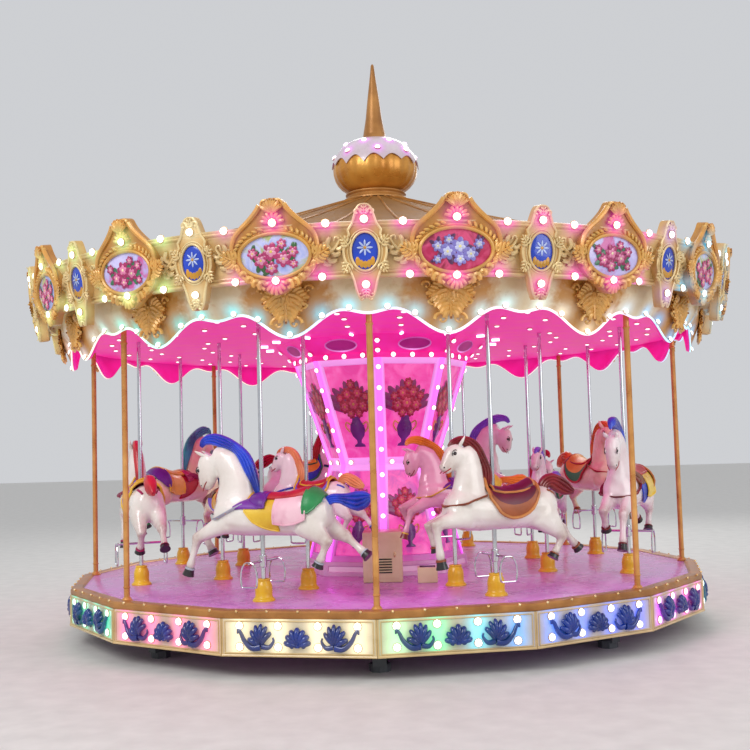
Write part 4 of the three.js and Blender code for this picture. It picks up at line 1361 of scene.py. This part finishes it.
cabinetSizes = {
    "door": (0.118, 0.028),  # half its width, and the margin over and under it
    "louvres": 6, "louvreLow": 0.075, "louvreStep": 0.02, "louvreHalf": 0.07,
    "treads": 6, "treadInset": 0.022, "treadMargin": 0.015,
}


def makeCabinet():
    # steel cabinet with a door, louvres and a handle; low step beside it
    s = cabinetSizes
    lo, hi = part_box("control_cabinet")
    height = hi.z - lo.z
    bm = bmesh.new()
    softBox(bm, lo, hi, 0.008)
    front = bmesh.new()
    half, low = s["door"]
    high = height - low
    plate(front, [(-half, low), (half, low), (half, high), (-half, high)], -0.003, 0.004, 0, 0.002)
    for row in range(s["louvres"]):
        z = s["louvreLow"] + s["louvreStep"] * row
        sweep(front, [(way * s["louvreHalf"], -0.006, z) for way in (-1, 1)], (0.004, 0.006), material=1)
    blob(front, (0.092, -0.01, height * 0.55), (0.008, 0.01, 0.022), 2, (8, 6))
    put(bm, asMesh(front), at(0, lo.y, lo.z))
    makePiece("controlCabinet", bm, [cabinetCream, pupilBlack, brassKnob], "column_cream",
              ["control_cabinet"])
    lo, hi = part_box("mounting_step")
    bm = bmesh.new()
    softBox(bm, lo, hi, 0.007)
    inset, margin = s["treadInset"], s["treadMargin"]
    for k in range(s["treads"]):
        y = lo.y + inset + k * (hi.y - lo.y - 2 * inset) / (s["treads"] - 1)
        sweep(bm, [(lo.x + margin, y, hi.z), (hi.x - margin, y, hi.z)], (0.003, 0.002), material=1)
    settle(bm)
    makePiece("stepBlock", bm, [cabinetCream, pupilBlack], "column_cream", ["mounting_step"])


cabinetCream = glossPaint("creamPowderCoat", "#f0dfb8", "#dcc898", 0.4)
pupilBlack = glossPaint("blackEnamel", "#1a1416", "#2a2022", 0.12)
stageLilac = glossPaint("lilacFibreglass", "#ee8cec", "#e070de", 0.36, glow=0.9)
# painted glow: the pale pink plinth panels give off their own colour
plinthPanel = glossPaint("palePinkFibreglass", "#f2d4ee", "#e6bce0", 0.4, lit=0.15)
plinthLilac = glossPaint("paleLilacFibreglass", "#ecc4ea", "#dca8da", 0.4)
# painted glow on the column's printed panels
upperPrint = printedField("pinkVarnishedPrint", "#f46cc0", "#ea50b0", "#de3ca4", glow=0.45)
lowerPrint = printedField("roseVarnishedPrint", "#ee5cbc", "#dc40ac", "#c034a8", glow=0.4)
# painted glow: the deep magenta ovals give off their own colour
ovalMagenta = glossPaint("deepMagentaPanel", "#c42c9c", "#a81c84", 0.5, lit=0.12)
cornerGlow = diffuser("acrylicDiffuser", "#f270f6", 1.0)
tubeLight = diffuser("tubeDiffuser", "#fff0ff", 2.0)
lampPink = lampDome("frostedPinkLamp", "#fff6ff", 2.0)
makeColumn()
makeCeilingLamps()
makeCabinet()


print("carried-over frames")
# the ceiling takes the magenta panel paint, whose emission is painted glow
for node in ("base_frame", "slewing_ring", "turntable_frame", "canopy_frame", "ceiling"):
    for holder in frame["nodes"][node].material_slots:
        holder.material = panelMagenta if node == "ceiling" else steelPaint


print("horses")
horseColours = {  # gel coat colours: body of the coat, then its shade
    "ivory": ("#f0ebe4", "#dcd4ca"), "rose": ("#f2b6ce", "#e296b6"), "cream": ("#f4e4c4", "#e2cb9c"),
    "pearl": ("#f6efee", "#e6d4d6"), "royalBlue": ("#2a4fd6", "#1a2f98"), "plum": ("#7c35a8", "#561f7c"),
    "scarlet": ("#cc2a34", "#981a24"), "maroon": ("#8a2a2c", "#5c1518"), "orange": ("#ee8a2c", "#c8641a"),
    "tan": ("#d08a4a", "#a8642c"), "brown": ("#8c4e28", "#643214"), "magenta": ("#b81c62", "#8a0f46"),
    "yellow": ("#f0cc40", "#d4a422"), "green": ("#2f9c58", "#1c7440"), "silver": ("#bcc2cc", "#949aa8"),
    "navy": ("#26306e", "#161c48"), "black": ("#2a2426", "#161214"), "violet": ("#8a6ae0", "#6244b8"),
    "rust": ("#a8582c", "#7c3a1a"), "wine": ("#6c1834", "#42101e"), "peach": ("#f2a26e", "#dc8450"),
    "blush": ("#f4c8d4", "#e2a4b8"), "teal": ("#2aa8b4", "#157f8c"),
}
# body, mane, saddle, seat, cantle, blanket, fringe, strap, hoof: one row for each horse
horseCoats = [
    "ivory maroon rust wine tan tan orange rust black",
    "pearl royalBlue brown scarlet tan royalBlue yellow maroon black",
    "cream orange green yellow scarlet violet yellow scarlet brown",
    "ivory violet scarlet orange yellow teal yellow plum black",
    "pearl scarlet royalBlue yellow green orange yellow navy brown",
    "cream teal magenta yellow plum scarlet yellow green black",
    "ivory scarlet violet magenta yellow green orange magenta black",
    "ivory royalBlue plum scarlet green yellow blush silver black",
    "rose orange plum violet yellow magenta orange yellow maroon",
    "pearl violet scarlet yellow green royalBlue yellow plum black",
    "ivory scarlet green orange yellow plum yellow scarlet black",
    "cream navy brown tan scarlet orange yellow maroon brown",
    "ivory orange royalBlue scarlet yellow green yellow navy brown",
    "pearl plum magenta yellow teal scarlet orange plum black",
    "cream navy brown orange scarlet violet yellow brown black",
    "pearl peach violet scarlet yellow magenta orange royalBlue maroon",
]
horseSizes = {"voxel": 0.0125, "smoothing": 4, "row": ("outerRow", "innerRow"), "scale": (1.0, 0.75),
              "raise": (0.0, 0.05), "spine": 0.566, "legSpread": 0.07}
# side view in metres, rod at x = 0: x, height, half depth, half width
trunkStations = [(-0.5, 0.604, 0.022, 0.02), (-0.482, 0.6, 0.085, 0.078), (-0.425, 0.59, 0.13, 0.118),
                 (-0.33, 0.58, 0.147, 0.136), (-0.2, 0.568, 0.136, 0.13), (-0.05, 0.562, 0.129, 0.127),
                 (0.1, 0.567, 0.138, 0.134), (0.22, 0.582, 0.147, 0.136), (0.312, 0.594, 0.122, 0.112),
                 (0.357, 0.602, 0.062, 0.058)]
gaits = {
    "prancing": {
        "rump": 1.08,
        "neck": [(0.19, 0.61, 0.165, 0.115), (0.212, 0.7, 0.148, 0.098), (0.206, 0.785, 0.13, 0.08),
                 (0.232, 0.87, 0.108, 0.07), (0.268, 0.935, 0.1, 0.064), (0.325, 0.972, 0.083, 0.058),
                 (0.375, 0.988, 0.068, 0.05)],
        "head": [(0.398, 0.988, 0.058, 0.045), (0.424, 0.945, 0.078, 0.056), (0.43, 0.897, 0.086, 0.06),
                 (0.43, 0.852, 0.08, 0.054), (0.438, 0.81, 0.068, 0.044), (0.448, 0.777, 0.056, 0.042),
                 (0.457, 0.755, 0.036, 0.032)],
        "ear": (0.062, 0.03), "eye": (0.48, 0.886),
        "mane": [(0.484, 1.05, 0.01), (0.462, 1.082, 0.026), (0.425, 1.098, 0.038), (0.37, 1.098, 0.04),
                 (0.305, 1.082, 0.038), (0.235, 1.056, 0.038), (0.172, 1.014, 0.04), (0.13, 0.965, 0.041),
                 (0.095, 0.9, 0.04), (0.066, 0.835, 0.036), (0.044, 0.77, 0.028), (0.026, 0.7, 0.01)],
        "tail": [(-0.49, 0.655, 0.024), (-0.54, 0.68, 0.032), (-0.6, 0.68, 0.036), (-0.66, 0.668, 0.046),
                 (-0.725, 0.664, 0.06), (-0.775, 0.678, 0.056), (-0.815, 0.69, 0.018)],
        "legs": [(1, 0, (0.24, 0.53), (0.48, 0.42), (0.56, 0.17)),
                 (-1, 0, (0.24, 0.53), (0.52, 0.44), (0.44, 0.3)),
                 (1, 1, (-0.368, 0.535), (-0.53, 0.4), (-0.455, 0.24)),
                 (-1, 1, (-0.368, 0.535), (-0.6, 0.425), (-0.755, 0.3))],
        "strap": [(0.085, 0.65), (0.14, 0.624), (0.2, 0.595), (0.255, 0.57), (0.3, 0.553)],
        "pad": [(-0.078, 0.655, 0.04), (-0.045, 0.66, 0.058), (0.01, 0.66, 0.056), (0.062, 0.652, 0.044),
                (0.108, 0.642, 0.03), (0.15, 0.626, 0.012)],
    },
    "jumping": {
        "rump": 0.94,
        "neck": [(0.165, 0.605, 0.15, 0.112), (0.178, 0.7, 0.124, 0.092), (0.176, 0.79, 0.104, 0.076),
                 (0.176, 0.87, 0.094, 0.066), (0.19, 0.94, 0.084, 0.058), (0.222, 0.985, 0.062, 0.046)],
        "head": [(0.226, 0.99, 0.048, 0.042), (0.254, 0.966, 0.074, 0.056), (0.286, 0.932, 0.078, 0.058),
                 (0.314, 0.9, 0.064, 0.048), (0.338, 0.871, 0.052, 0.04), (0.354, 0.852, 0.048, 0.042),
                 (0.368, 0.836, 0.032, 0.032)],
        "ear": (-0.03, 0.056), "eye": (0.296, 0.958),
        "mane": [(0.318, 1.0, 0.01), (0.286, 1.026, 0.024), (0.24, 1.043, 0.03), (0.19, 1.034, 0.034),
                 (0.14, 1.002, 0.04), (0.104, 0.955, 0.044), (0.076, 0.895, 0.044), (0.054, 0.835, 0.04),
                 (0.046, 0.775, 0.036), (0.052, 0.715, 0.028), (0.072, 0.66, 0.012)],
        "tail": [(-0.372, 0.675, 0.028), (-0.398, 0.735, 0.04), (-0.445, 0.752, 0.054),
                 (-0.505, 0.722, 0.056), (-0.565, 0.692, 0.045), (-0.625, 0.664, 0.016)],
        "legs": [(1, 0, (0.225, 0.535), (0.462, 0.495), (0.425, 0.21)),
                 (-1, 0, (0.225, 0.54), (0.45, 0.47), (0.4, 0.31)),
                 (1, 1, (-0.33, 0.53), (-0.49, 0.37), (-0.405, 0.23)),
                 (-1, 1, (-0.33, 0.53), (-0.57, 0.4), (-0.69, 0.265))],
        "strap": [(0.095, 0.668), (0.15, 0.655), (0.21, 0.64), (0.275, 0.618)],
    },
}
coat, hair, saddleSlot, seatSlot, cantleSlot, blanketSlot, fringeSlot, strapSlot, hoofSlot = range(9)
goldSlot, eyeSlot, pupilSlot, mouthSlot = range(9, 13)
sideways = (0, 1, 0)
# draped pieces from back to front: edge angle from straight up and rise over the back at even steps
tack = {
    "prancing": [
        {"from": -0.185, "to": 0.066, "angles": (134, 130, 120, 104, 74), "rise": (0, 0),
         "lift": 0.006, "slot": blanketSlot, "hem": 0.0065},
        {"from": -0.402, "to": -0.16, "angles": (96, 108, 112, 108), "rise": (0, 0),
         "lift": 0.016, "slot": fringeSlot, "hem": 0.0065},
        {"from": -0.395, "to": -0.06, "angles": (30, 34, 34, 34, 30),
         "rise": (0.022, 0.008, 0.002, 0.004, 0.014), "lift": 0.02, "slot": seatSlot, "hem": 0.011},
        {"from": -0.492, "to": -0.388, "angles": (40, 66, 78, 80), "rise": (0, 0.012, 0.022, 0.026),
         "lift": 0.014, "slot": cantleSlot, "hem": 0.008},
        {"from": -0.08, "to": 0.04, "angles": (64, 62, 56, 46), "rise": (0.016, 0.024, 0.016, 0),
         "lift": 0.016, "slot": saddleSlot, "hem": 0.01},
    ],
    "jumping": [
        {"from": -0.292, "to": 0.072, "angles": (48, 84, 102, 110, 112, 106, 92, 52),
         "rise": (0.022, 0.01, 0, 0, 0, 0.012), "lift": 0.012, "slot": saddleSlot, "edge": cantleSlot,
         "hem": 0.011, "seat": seatSlot},
        {"from": -0.272, "to": 0.03, "angles": (30, 36, 38, 36, 30),
         "rise": (0.03, 0.01, 0.002, 0.004, 0.018), "lift": 0.022, "slot": seatSlot, "edge": cantleSlot,
         "hem": 0.008},
    ],
}


def stationSweep(bm, stations, side=0.0, sides=16, material=0):
    # a body form through stations in the side view
    sweep(bm, [(x, side, z) for x, z, _, _ in stations], [(deep, wide) for _, _, deep, wide in stations],
          sides, material=material, upright=sideways)


def mix(a, b, share):
    return tuple(p + (q - p) * share for p, q in zip(a, b))


def legStations(hip, knee, hoof, hind):
    # thigh or shoulder, knee or hock, cannon, fetlock and pastern
    upper = [(0.082, 0.062), (0.062, 0.052), (0.045, 0.04)]
    if hind:
        upper = [(0.118, 0.072), (0.088, 0.062), (0.052, 0.044)]
    lower = [(0.045, 0.04), (0.029, 0.027), (0.026, 0.025), (0.035, 0.031), (0.028, 0.027)]
    path = [mix(hip, knee, share) for share in (0, 0.42, 0.84)] + [knee]
    path += [mix(knee, hoof, share) for share in (0.25, 0.55, 0.74, 0.86)]
    return [(*point, *radius) for point, radius in zip(path, upper + lower)]


def horseSkin(gait):
    # trunk, neck, head and legs fused into one skin and smoothed
    bm = bmesh.new()
    stationSweep(bm, [(x * gait["rump"] if x < 0 else x, *rest) for x, *rest in trunkStations])
    stationSweep(bm, gait["neck"])
    stationSweep(bm, gait["head"])
    for side, hind, hip, knee, hoof in gait["legs"]:
        stationSweep(bm, legStations(hip, knee, hoof, hind), side * horseSizes["legSpread"], 12)
        middle = (hip[0] + (0.02 if hind else 0.0), side * 0.062, hip[1] + 0.02)
        blob(bm, middle, (0.1, 0.062, 0.11), detail=(12, 8))
    for side in (-1, 1):
        cheek = gait["head"][2]
        blob(bm, (cheek[0] - 0.012, side * 0.022, cheek[1] - 0.014), (0.05, 0.036, 0.05), detail=(12, 8))
        nostril = gait["head"][5]
        middle = (nostril[0] + 0.006, side * 0.022, nostril[1] + 0.012)
        blob(bm, middle, (0.026, 0.018, 0.024), detail=(10, 6))
    settle(bm)
    holder = addObject("skin", toMesh(bm, "skin"))
    fuse = holder.modifiers.new("fuse", "REMESH")
    fuse.mode = "VOXEL"
    fuse.voxel_size = horseSizes["voxel"]
    skin = bpy.data.meshes.new_from_object(holder.evaluated_get(bpy.context.evaluated_depsgraph_get()))
    bpy.data.objects.remove(holder)
    bm = bmesh.new()
    bm.from_mesh(skin)
    bpy.data.meshes.remove(skin)
    for _ in range(horseSizes["smoothing"]):
        bmesh.ops.smooth_vert(bm, verts=bm.verts, factor=0.5, use_axis_x=True, use_axis_y=True,
                              use_axis_z=True)
    return bm


def onSkin(tree, x, turnAngle, lift):
    # a point over the trunk: x, angle from straight up, and lift off the skin
    way = Vector((0, math.sin(turnAngle), math.cos(turnAngle)))
    middle = Vector((x, 0, horseSizes["spine"]))
    hit = tree.ray_cast(middle + way * 0.5, -way)[0]
    return (hit if hit is not None and (hit - middle).length < 0.32 else middle + way * 0.14) + way * lift


def between(values, share):
    place = share * (len(values) - 1)
    k = min(int(place), len(values) - 2)
    return values[k] + (values[k + 1] - values[k]) * (place - k)


def drape(bm, tree, piece):
    # a padded cloth or saddle part laid over the trunk, with a rolled edge
    def over(u, v, lift=0.0):
        rise = between(piece["rise"], u) * max(0.0, 1 - v * v) ** 0.5
        x = piece["from"] + (piece["to"] - piece["from"]) * u
        return onSkin(tree, x, math.radians(between(piece["angles"], u)) * v, piece["lift"] + rise + lift)

    own = bmesh.new()
    bmesh.ops.create_grid(own, x_segments=18, y_segments=20, size=0.5)
    for face in own.faces:
        middle = face.calc_center_median()
        inside = "seat" in piece and abs(middle.x) < 0.43 and abs(middle.y) < 0.34
        face.material_index = piece["seat"] if inside else piece["slot"]
    for vert in own.verts:
        vert.co = over(vert.co.x + 0.5, vert.co.y * 2)
    bmesh.ops.solidify(own, geom=own.faces[:], thickness=-0.008)
    put(bm, asMesh(own), still)
    steps = [k / 12 for k in range(12)]
    rim = [(u, -1) for u in steps] + [(1, 2 * v - 1) for v in steps]
    rim += [(1 - u, 1) for u in steps] + [(0, 1 - 2 * v) for v in steps]
    sweep(bm, [over(u, v, 0.001) for u, v in rim], piece["hem"], closed=True,
          material=piece.get("edge", piece["slot"]))


def plume(bm, spine):
    # moulded hair: combed strands side by side along a spine of x, height and half breadth
    middle = smoothLine([(x, 0, z) for x, z, _ in spine], 3)
    count = len(middle)
    halves = [between([half for _, _, half in spine], i / (count - 1)) for i in range(count)]
    for lane in (-0.66, -0.22, 0.22, 0.66):
        line = []
        for i, (point, half) in enumerate(zip(middle, halves)):
            along = (middle[min(i + 1, count - 1)] - middle[max(i - 1, 0)]).normalized()
            across = along.cross(Vector(sideways))
            ripple = 0.1 * math.sin(0.55 * i + 2 * lane) * half
            line.append(point + across * (half * lane + ripple))
        wide = 0.62 + 0.22 * (1 - abs(lane))
        sweep(bm, line, [(0.36 * half + 0.001, wide * half + 0.001) for half in halves], 10, material=hair,
              upright=sideways)


def sidePoint(tree, x, z, side, lift):
    # a point of the skin straight in from the side
    hit = tree.ray_cast(Vector((x, side, z)), Vector((0, -side, 0)))[0]
    return (hit if hit is not None else Vector((x, side * 0.05, z))) + Vector((0, side * lift, 0))


def addHeadDetail(bm, gait, tree):
    head = gait["head"]
    along = Vector((head[5][0] - head[1][0], 0, head[5][1] - head[1][1])).normalized()
    brow = Vector((-along.z, 0, along.x))  # forwards, square to the face
    poll = Vector((head[1][0], 0, head[1][1]))
    for side in (-1, 1):
        root = poll + brow * 0.028 - along * 0.042 + Vector((0, side * 0.032, 0))
        tip = root + Vector((gait["ear"][0], side * 0.014, gait["ear"][1]))
        line = smoothLine([root.lerp(tip, -0.3), root.lerp(tip, 0.45) + Vector((0, side * 0.006, 0)), tip], 3)
        sweep(bm, line, [(0.012, 0.01), (0.015, 0.012), (0.016, 0.012), (0.015, 0.01), (0.012, 0.008),
                         (0.008, 0.005), (0.003, 0.003)], 8, material=coat)
        eye = sidePoint(tree, *gait["eye"], side, -0.004)
        blob(bm, eye, (0.021, 0.01, 0.016), eyeSlot)
        blob(bm, eye + Vector((0.001, side * 0.003, -0.001)), (0.0155, 0.0095, 0.0135), pupilSlot)
        proud = Vector((0, side * 0.005, 0))
        lid = [eye + along * 0.023 * math.cos(a) + brow * (0.003 + 0.017 * math.sin(a)) + proud
               for a in (math.radians(d) for d in range(0, 181, 30))]
        sweep(bm, lid, taper(7, 0.004, 0.6), 6, material=pupilSlot)
        nose = sidePoint(tree, head[5][0] + brow.x * 0.018, head[5][1] + brow.z * 0.018, side, -0.002)
        blob(bm, nose, (0.008, 0.005, 0.006), pupilSlot, (8, 6))
        corner = sidePoint(tree, head[4][0] - brow.x * 0.02, head[4][1] - brow.z * 0.02, side, 0.0)
        front = Vector((head[6][0], side * 0.022, head[6][1])) + along * 0.014
        lips = smoothLine([corner, corner.lerp(front, 0.5) + Vector((0, side * 0.008, 0)), front], 3)
        sweep(bm, lips, taper(7, 0.0045, 0.7), 6, material=mouthSlot)


def addTack(bm, tree, gaitName):
    # saddle parts, the pad under them, the strap round the chest with its studs, and the crupper
    for piece in tack[gaitName]:
        drape(bm, tree, piece)
    pad = gaits[gaitName].get("pad", ())
    for side in (-1, 1) if pad else ():
        line = smoothLine([sidePoint(tree, x, z, side, 0.006) for x, z, _ in pad], 3)
        halves = [between([half for _, _, half in pad], i / (len(line) - 1)) for i in range(len(line))]
        sweep(bm, line, [(0.016, half) for half in halves], 12, material=saddleSlot)
    sides = gaits[gaitName]["strap"]
    chest = tree.ray_cast(Vector((1, 0, sides[-1][1] - 0.014)), Vector((-1, 0, 0)))[0] + Vector((0.01, 0, 0))
    strap = [sidePoint(tree, x, z, -1, 0.01) for x, z in sides] + [chest]
    strap += [sidePoint(tree, x, z, 1, 0.01) for x, z in reversed(sides)]
    line = smoothLine(strap, 3)
    sweep(bm, line, (0.007, 0.018), 8, material=strapSlot)
    for point in line[4:-4:4]:
        outward = (point - Vector((0.1, 0, point.z))).normalized()
        blob(bm, point + outward * 0.006, (0.008, 0.008, 0.008), goldSlot, (8, 6))
    rump = gaits[gaitName]["rump"]
    for side in (-1, 1):
        crupper = [onSkin(tree, x * rump, side * math.radians(28 + 60 * max(0, x + 0.48)), 0.005)
                   for x in (-0.4, -0.425, -0.45, -0.47)]
        sweep(bm, crupper, (0.005, 0.009), 6, material=strapSlot)


def horseShape(gaitName):
    # one whole horse, heights over the deck, with the airbrushed shade as an attribute
    gait = gaits[gaitName]
    bm = horseSkin(gait)
    tree = BVHTree.FromBMesh(bm)
    addTack(bm, tree, gaitName)
    plume(bm, gait["mane"])
    plume(bm, gait["tail"])
    addHeadDetail(bm, gait, tree)
    for side, _, _, knee, hoof in gait["legs"]:
        top, end = mix(knee, hoof, 0.84), mix(knee, hoof, 1.04)
        wall = [(*top, 0.033, 0.031), (*mix(top, end, 0.35), 0.034, 0.033), (*end, 0.043, 0.041)]
        band = [(*mix(top, end, -0.12), 0.034, 0.033), (*mix(top, end, 0.1), 0.037, 0.035)]
        for stations, slot in ((wall, hoofSlot), (band, strapSlot)):
            stationSweep(bm, stations, side * horseSizes["legSpread"], 12, slot)
    settle(bm)
    shape = toMesh(bm, "horse")
    marks = [Vector((leg[joint][0], leg[0] * horseSizes["legSpread"], leg[joint][1]))
             for joint in (4, 3) for leg in gait["legs"]]
    marks.append(Vector((gait["head"][5][0], 0, gait["head"][5][1])))
    values = [min(1.0, sum(math.exp(-((vertex.co - mark).length / 0.075) ** 2) for mark in marks))
              for vertex in shape.vertices]
    shape.attributes.new("airbrush", "FLOAT", "POINT").data.foreach_set("value", values)
    return shape


# gel-coated fibreglass, airbrushed: warm grey blush at muzzle, knees and hooves
def airbrushedCoat(name):
    colour, shade = horseColours[name]
    material, tree, shader, place = startMaterial(f"gelcoat_{name}_body", colour, 0.24, Coat_Weight=0.5)
    drift = addSurface(tree, shader, place, 0.005, 0.0003, (shade, colour))
    sprayed = addNode(tree, "Attribute", attribute_name="airbrush")
    patchy = addNode(tree, "TexNoise", {"Vector": place, "Scale": 28.0})
    amount = addNode(tree, "Math", {0: sprayed.outputs["Fac"], 1: patchy.outputs["Fac"]},
                     operation="MULTIPLY")
    blush = mixed(tree, amount.outputs[0], drift, toLinear("#9a6a5c"))
    tree.links.new(blush, shader.inputs["Base Color"])
    return material


# moulded hair under gel coat: darker in the grooves, fine combed relief
def combedHair(name):
    colour, shade = horseColours[name]
    material, tree, shader, place = startMaterial(f"gelcoat_{name}_hair", colour, 0.3, Coat_Weight=0.3)
    addSurface(tree, shader, place, 0.004, 0.0012, (shade, colour), 0.35, 0.6)
    return material


# painted saddle leather: pebbled grain about 2 mm, drawn 5 mm wide so that it shows
def paintedLeather(name):
    colour, shade = horseColours[name]
    material, tree, shader, place = startMaterial(f"gelcoat_{name}_leather", colour, 0.36)
    addSurface(tree, shader, place, 0.006, 0.0006, (shade, colour))
    pebble = addNode(tree, "TexVoronoi", {"Vector": place, "Scale": 200.0})
    emboss(tree, shader, pebble.outputs["Distance"], 0.5, 0.001)
    return material


finishKinds = (airbrushedCoat, combedHair, *[paintedLeather] * 4, combedHair, paintedLeather, combedHair)
madeFinishes = {}


def horseFinishes(coats):
    found = []
    for kind, name in zip(finishKinds, coats):
        if (kind, name) not in madeFinishes:
            madeFinishes[kind, name] = kind(name)
        found.append(madeFinishes[kind, name])
    return found + [giltPaint, eyeWhite, pupilBlack, mouthRed]


eyeWhite = glossPaint("eyeEnamel", "#f6f4f0", "#e8e4dc", 0.12)
mouthRed = glossPaint("redEnamel", "#a81c24", "#7c1018", 0.2)


def liftOf(number):
    # how high a horse stands in its stroke, from its own joint
    ranges = {joint["name"]: joint["range_m"] for joint in frame["joints"] if "gallop" in joint["name"]}
    return -ranges[f"gallop_{number:02d}"][0]


def horsePlace(number):
    inner = number > bays
    bay = (number - 1) % bays
    angle = (bay + 0.5) * bayTurn
    radius = deckSizes[horseSizes["row"][inner]]
    height = deckTop + horseSizes["raise"][inner] + liftOf(number)
    return spot(angle, radius, height) @ Matrix.Rotation(math.pi, 4, "Z"), horseSizes["scale"][inner]


def makeHorses():
    shapes = [horseShape("prancing"), horseShape("jumping")]
    for number in range(1, 2 * bays + 1):
        outer = number <= bays
        shape = shapes[((number - 1) % bays + (1 if outer else 0)) % 2].copy()
        place, size = horsePlace(number)
        shape.transform(place @ scaled(size, size, size))
        shape.name = f"paintedHorse{number:02d}"
        makePiece(shape.name, shape, horseFinishes(horseCoats[number - 1].split()), "horse_shell",
                  [f"horse_{number:02d}"], f"galloper_{number:02d}", sharp=50)


print("rods and footrests")
rodSizes = {"radius": 0.0155, "bar": 0.262, "reach": 0.19, "stirrupWidth": 0.12, "stirrupHeight": 0.16}


def makeRods():
    s = rodSizes
    r, bar = s["radius"], s["bar"]
    half, drop = s["stirrupWidth"] / 2, s["stirrupHeight"]
    stirrup = [(0, 0.004), (0.034, -0.004), (half, -0.06), (half, -drop + 0.02), (half - 0.016, -drop),
               (-half + 0.016, -drop), (-half, -drop + 0.02), (-half, -0.06), (-0.034, -0.004)]
    for number in range(1, 2 * bays + 1):
        low, high = (corner.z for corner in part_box(f"rod_{number:02d}"))
        place, size = horsePlace(number)
        level = place.translation.z
        bm = bmesh.new()
        rod = [(0, low - level), (r, low - level), (r, bar - 0.045), (0.025, bar - 0.042),
               (0.027, bar - 0.03),
               (0.025, bar + 0.026), (0.027, bar + 0.032), (0.025, bar + 0.04), (r, bar + 0.043),
               (r, high - level), (0, high - level)]
        put(bm, turned(rod, 14), still)
        reach = s["reach"] * size
        sweep(bm, [(0, -reach, bar), (0, reach, bar)], 0.0088, 8)
        for side in (-1, 1):
            loop = smoothLine([(x, side * reach, bar + z) for x, z in stirrup], 2, closed=True)
            sweep(bm, loop, 0.0062, 8, closed=True, upright=sideways)
            tread = [(way * (half - 0.014), side * reach, bar - drop) for way in (-1, 1)]
            sweep(bm, tread, (0.007, 0.0072), 8, upright=sideways)
        settle(bm)
        bmesh.ops.transform(bm, matrix=place, verts=bm.verts)
        makePiece(f"chromeRod{number:02d}", bm, [chrome], "rod_chrome", [f"rod_{number:02d}"],
                  f"galloper_{number:02d}", sharp=40)


makeHorses()
makeRods()


print("floor, light and camera")
stageSizes = {"floor": 60.0, "floorColour": "#d9d7d3", "sky": "#eef0f4", "skyStrength": 0.72}
cameraSizes = {  # the photograph's view, in metres and degrees
    "distance": 9.4155, "height": 0.9967, "pitch": 3.95168, "roll": 1.60421, "yaw": -0.31319,
    "phase": 1.52, "lens": 52.6,
}


def makeStage():
    bm = bmesh.new()
    bmesh.ops.create_grid(bm, x_segments=1, y_segments=1, size=stageSizes["floor"])
    floor = addObject("floor", toMesh(bm, "floor"))
    material, tree, shader, place = startMaterial("paleFloor", stageSizes["floorColour"], 0.6)
    addSurface(tree, shader, place, 0.02, 0.0005, ("#d2d0cc", "#dedcd8"))
    floor.data.materials.append(material)
    world = bpy.data.worlds.new("softSky")
    world.use_nodes = True
    back = world.node_tree.nodes["Background"]
    back.inputs["Color"].default_value = toLinear(stageSizes["sky"])
    back.inputs["Strength"].default_value = stageSizes["skyStrength"]
    bpy.context.scene.world = world


softLights = {  # place, target, size and watts
    "keyLight": ((-5.5, -9.0, 7.5), (0, 0, 1.6), 5.0, 560),
    "fillLight": ((7.5, -6.5, 4.5), (0, 0, 1.6), 6.0, 260),
    "backLight": ((1.5, 9.0, 8.0), (0, 0, 2.2), 6.0, 380),
}


def addSoftLight(name, place, target, size, watts):
    light = bpy.data.lights.new(name, "AREA")
    light.shape = "SQUARE"
    light.size = size
    light.energy = watts
    lamp = addObject(name, light)
    lamp.location = place
    lamp.rotation_euler = (Vector(target) - Vector(place)).to_track_quat("-Z", "Y").to_euler()


def makeCamera():
    bpy.context.scene.view_settings.view_transform = "Standard"  # plain display colours, as a photo shows
    s = cameraSizes
    pitch, roll, yaw, phase = (math.radians(s[k]) for k in ("pitch", "roll", "yaw", "phase"))
    right = Vector((math.cos(yaw), -math.sin(yaw), 0))
    level = Vector((math.sin(yaw), math.cos(yaw), 0))
    forward = level * math.cos(pitch) + Vector((0, 0, math.sin(pitch)))
    up = Vector((0, 0, math.cos(pitch))) - level * math.sin(pitch)
    imageRight = right * math.cos(roll) - up * math.sin(roll)
    imageUp = right * math.sin(roll) + up * math.cos(roll)
    pose = Matrix((imageRight, imageUp, -forward)).transposed().to_4x4()
    stand = Matrix.Rotation(phase, 4, "Z") @ Matrix.Translation((0, -s["distance"], deckTop + s["height"]))
    data = bpy.data.cameras.new("camera")
    data.lens = s["lens"]
    camera = addObject("camera", data)
    camera.matrix_world = stand @ pose
    bpy.context.scene.camera = camera


makeStage()
for lightName, settings in softLights.items():
    addSoftLight(lightName, *settings)
makeCamera()
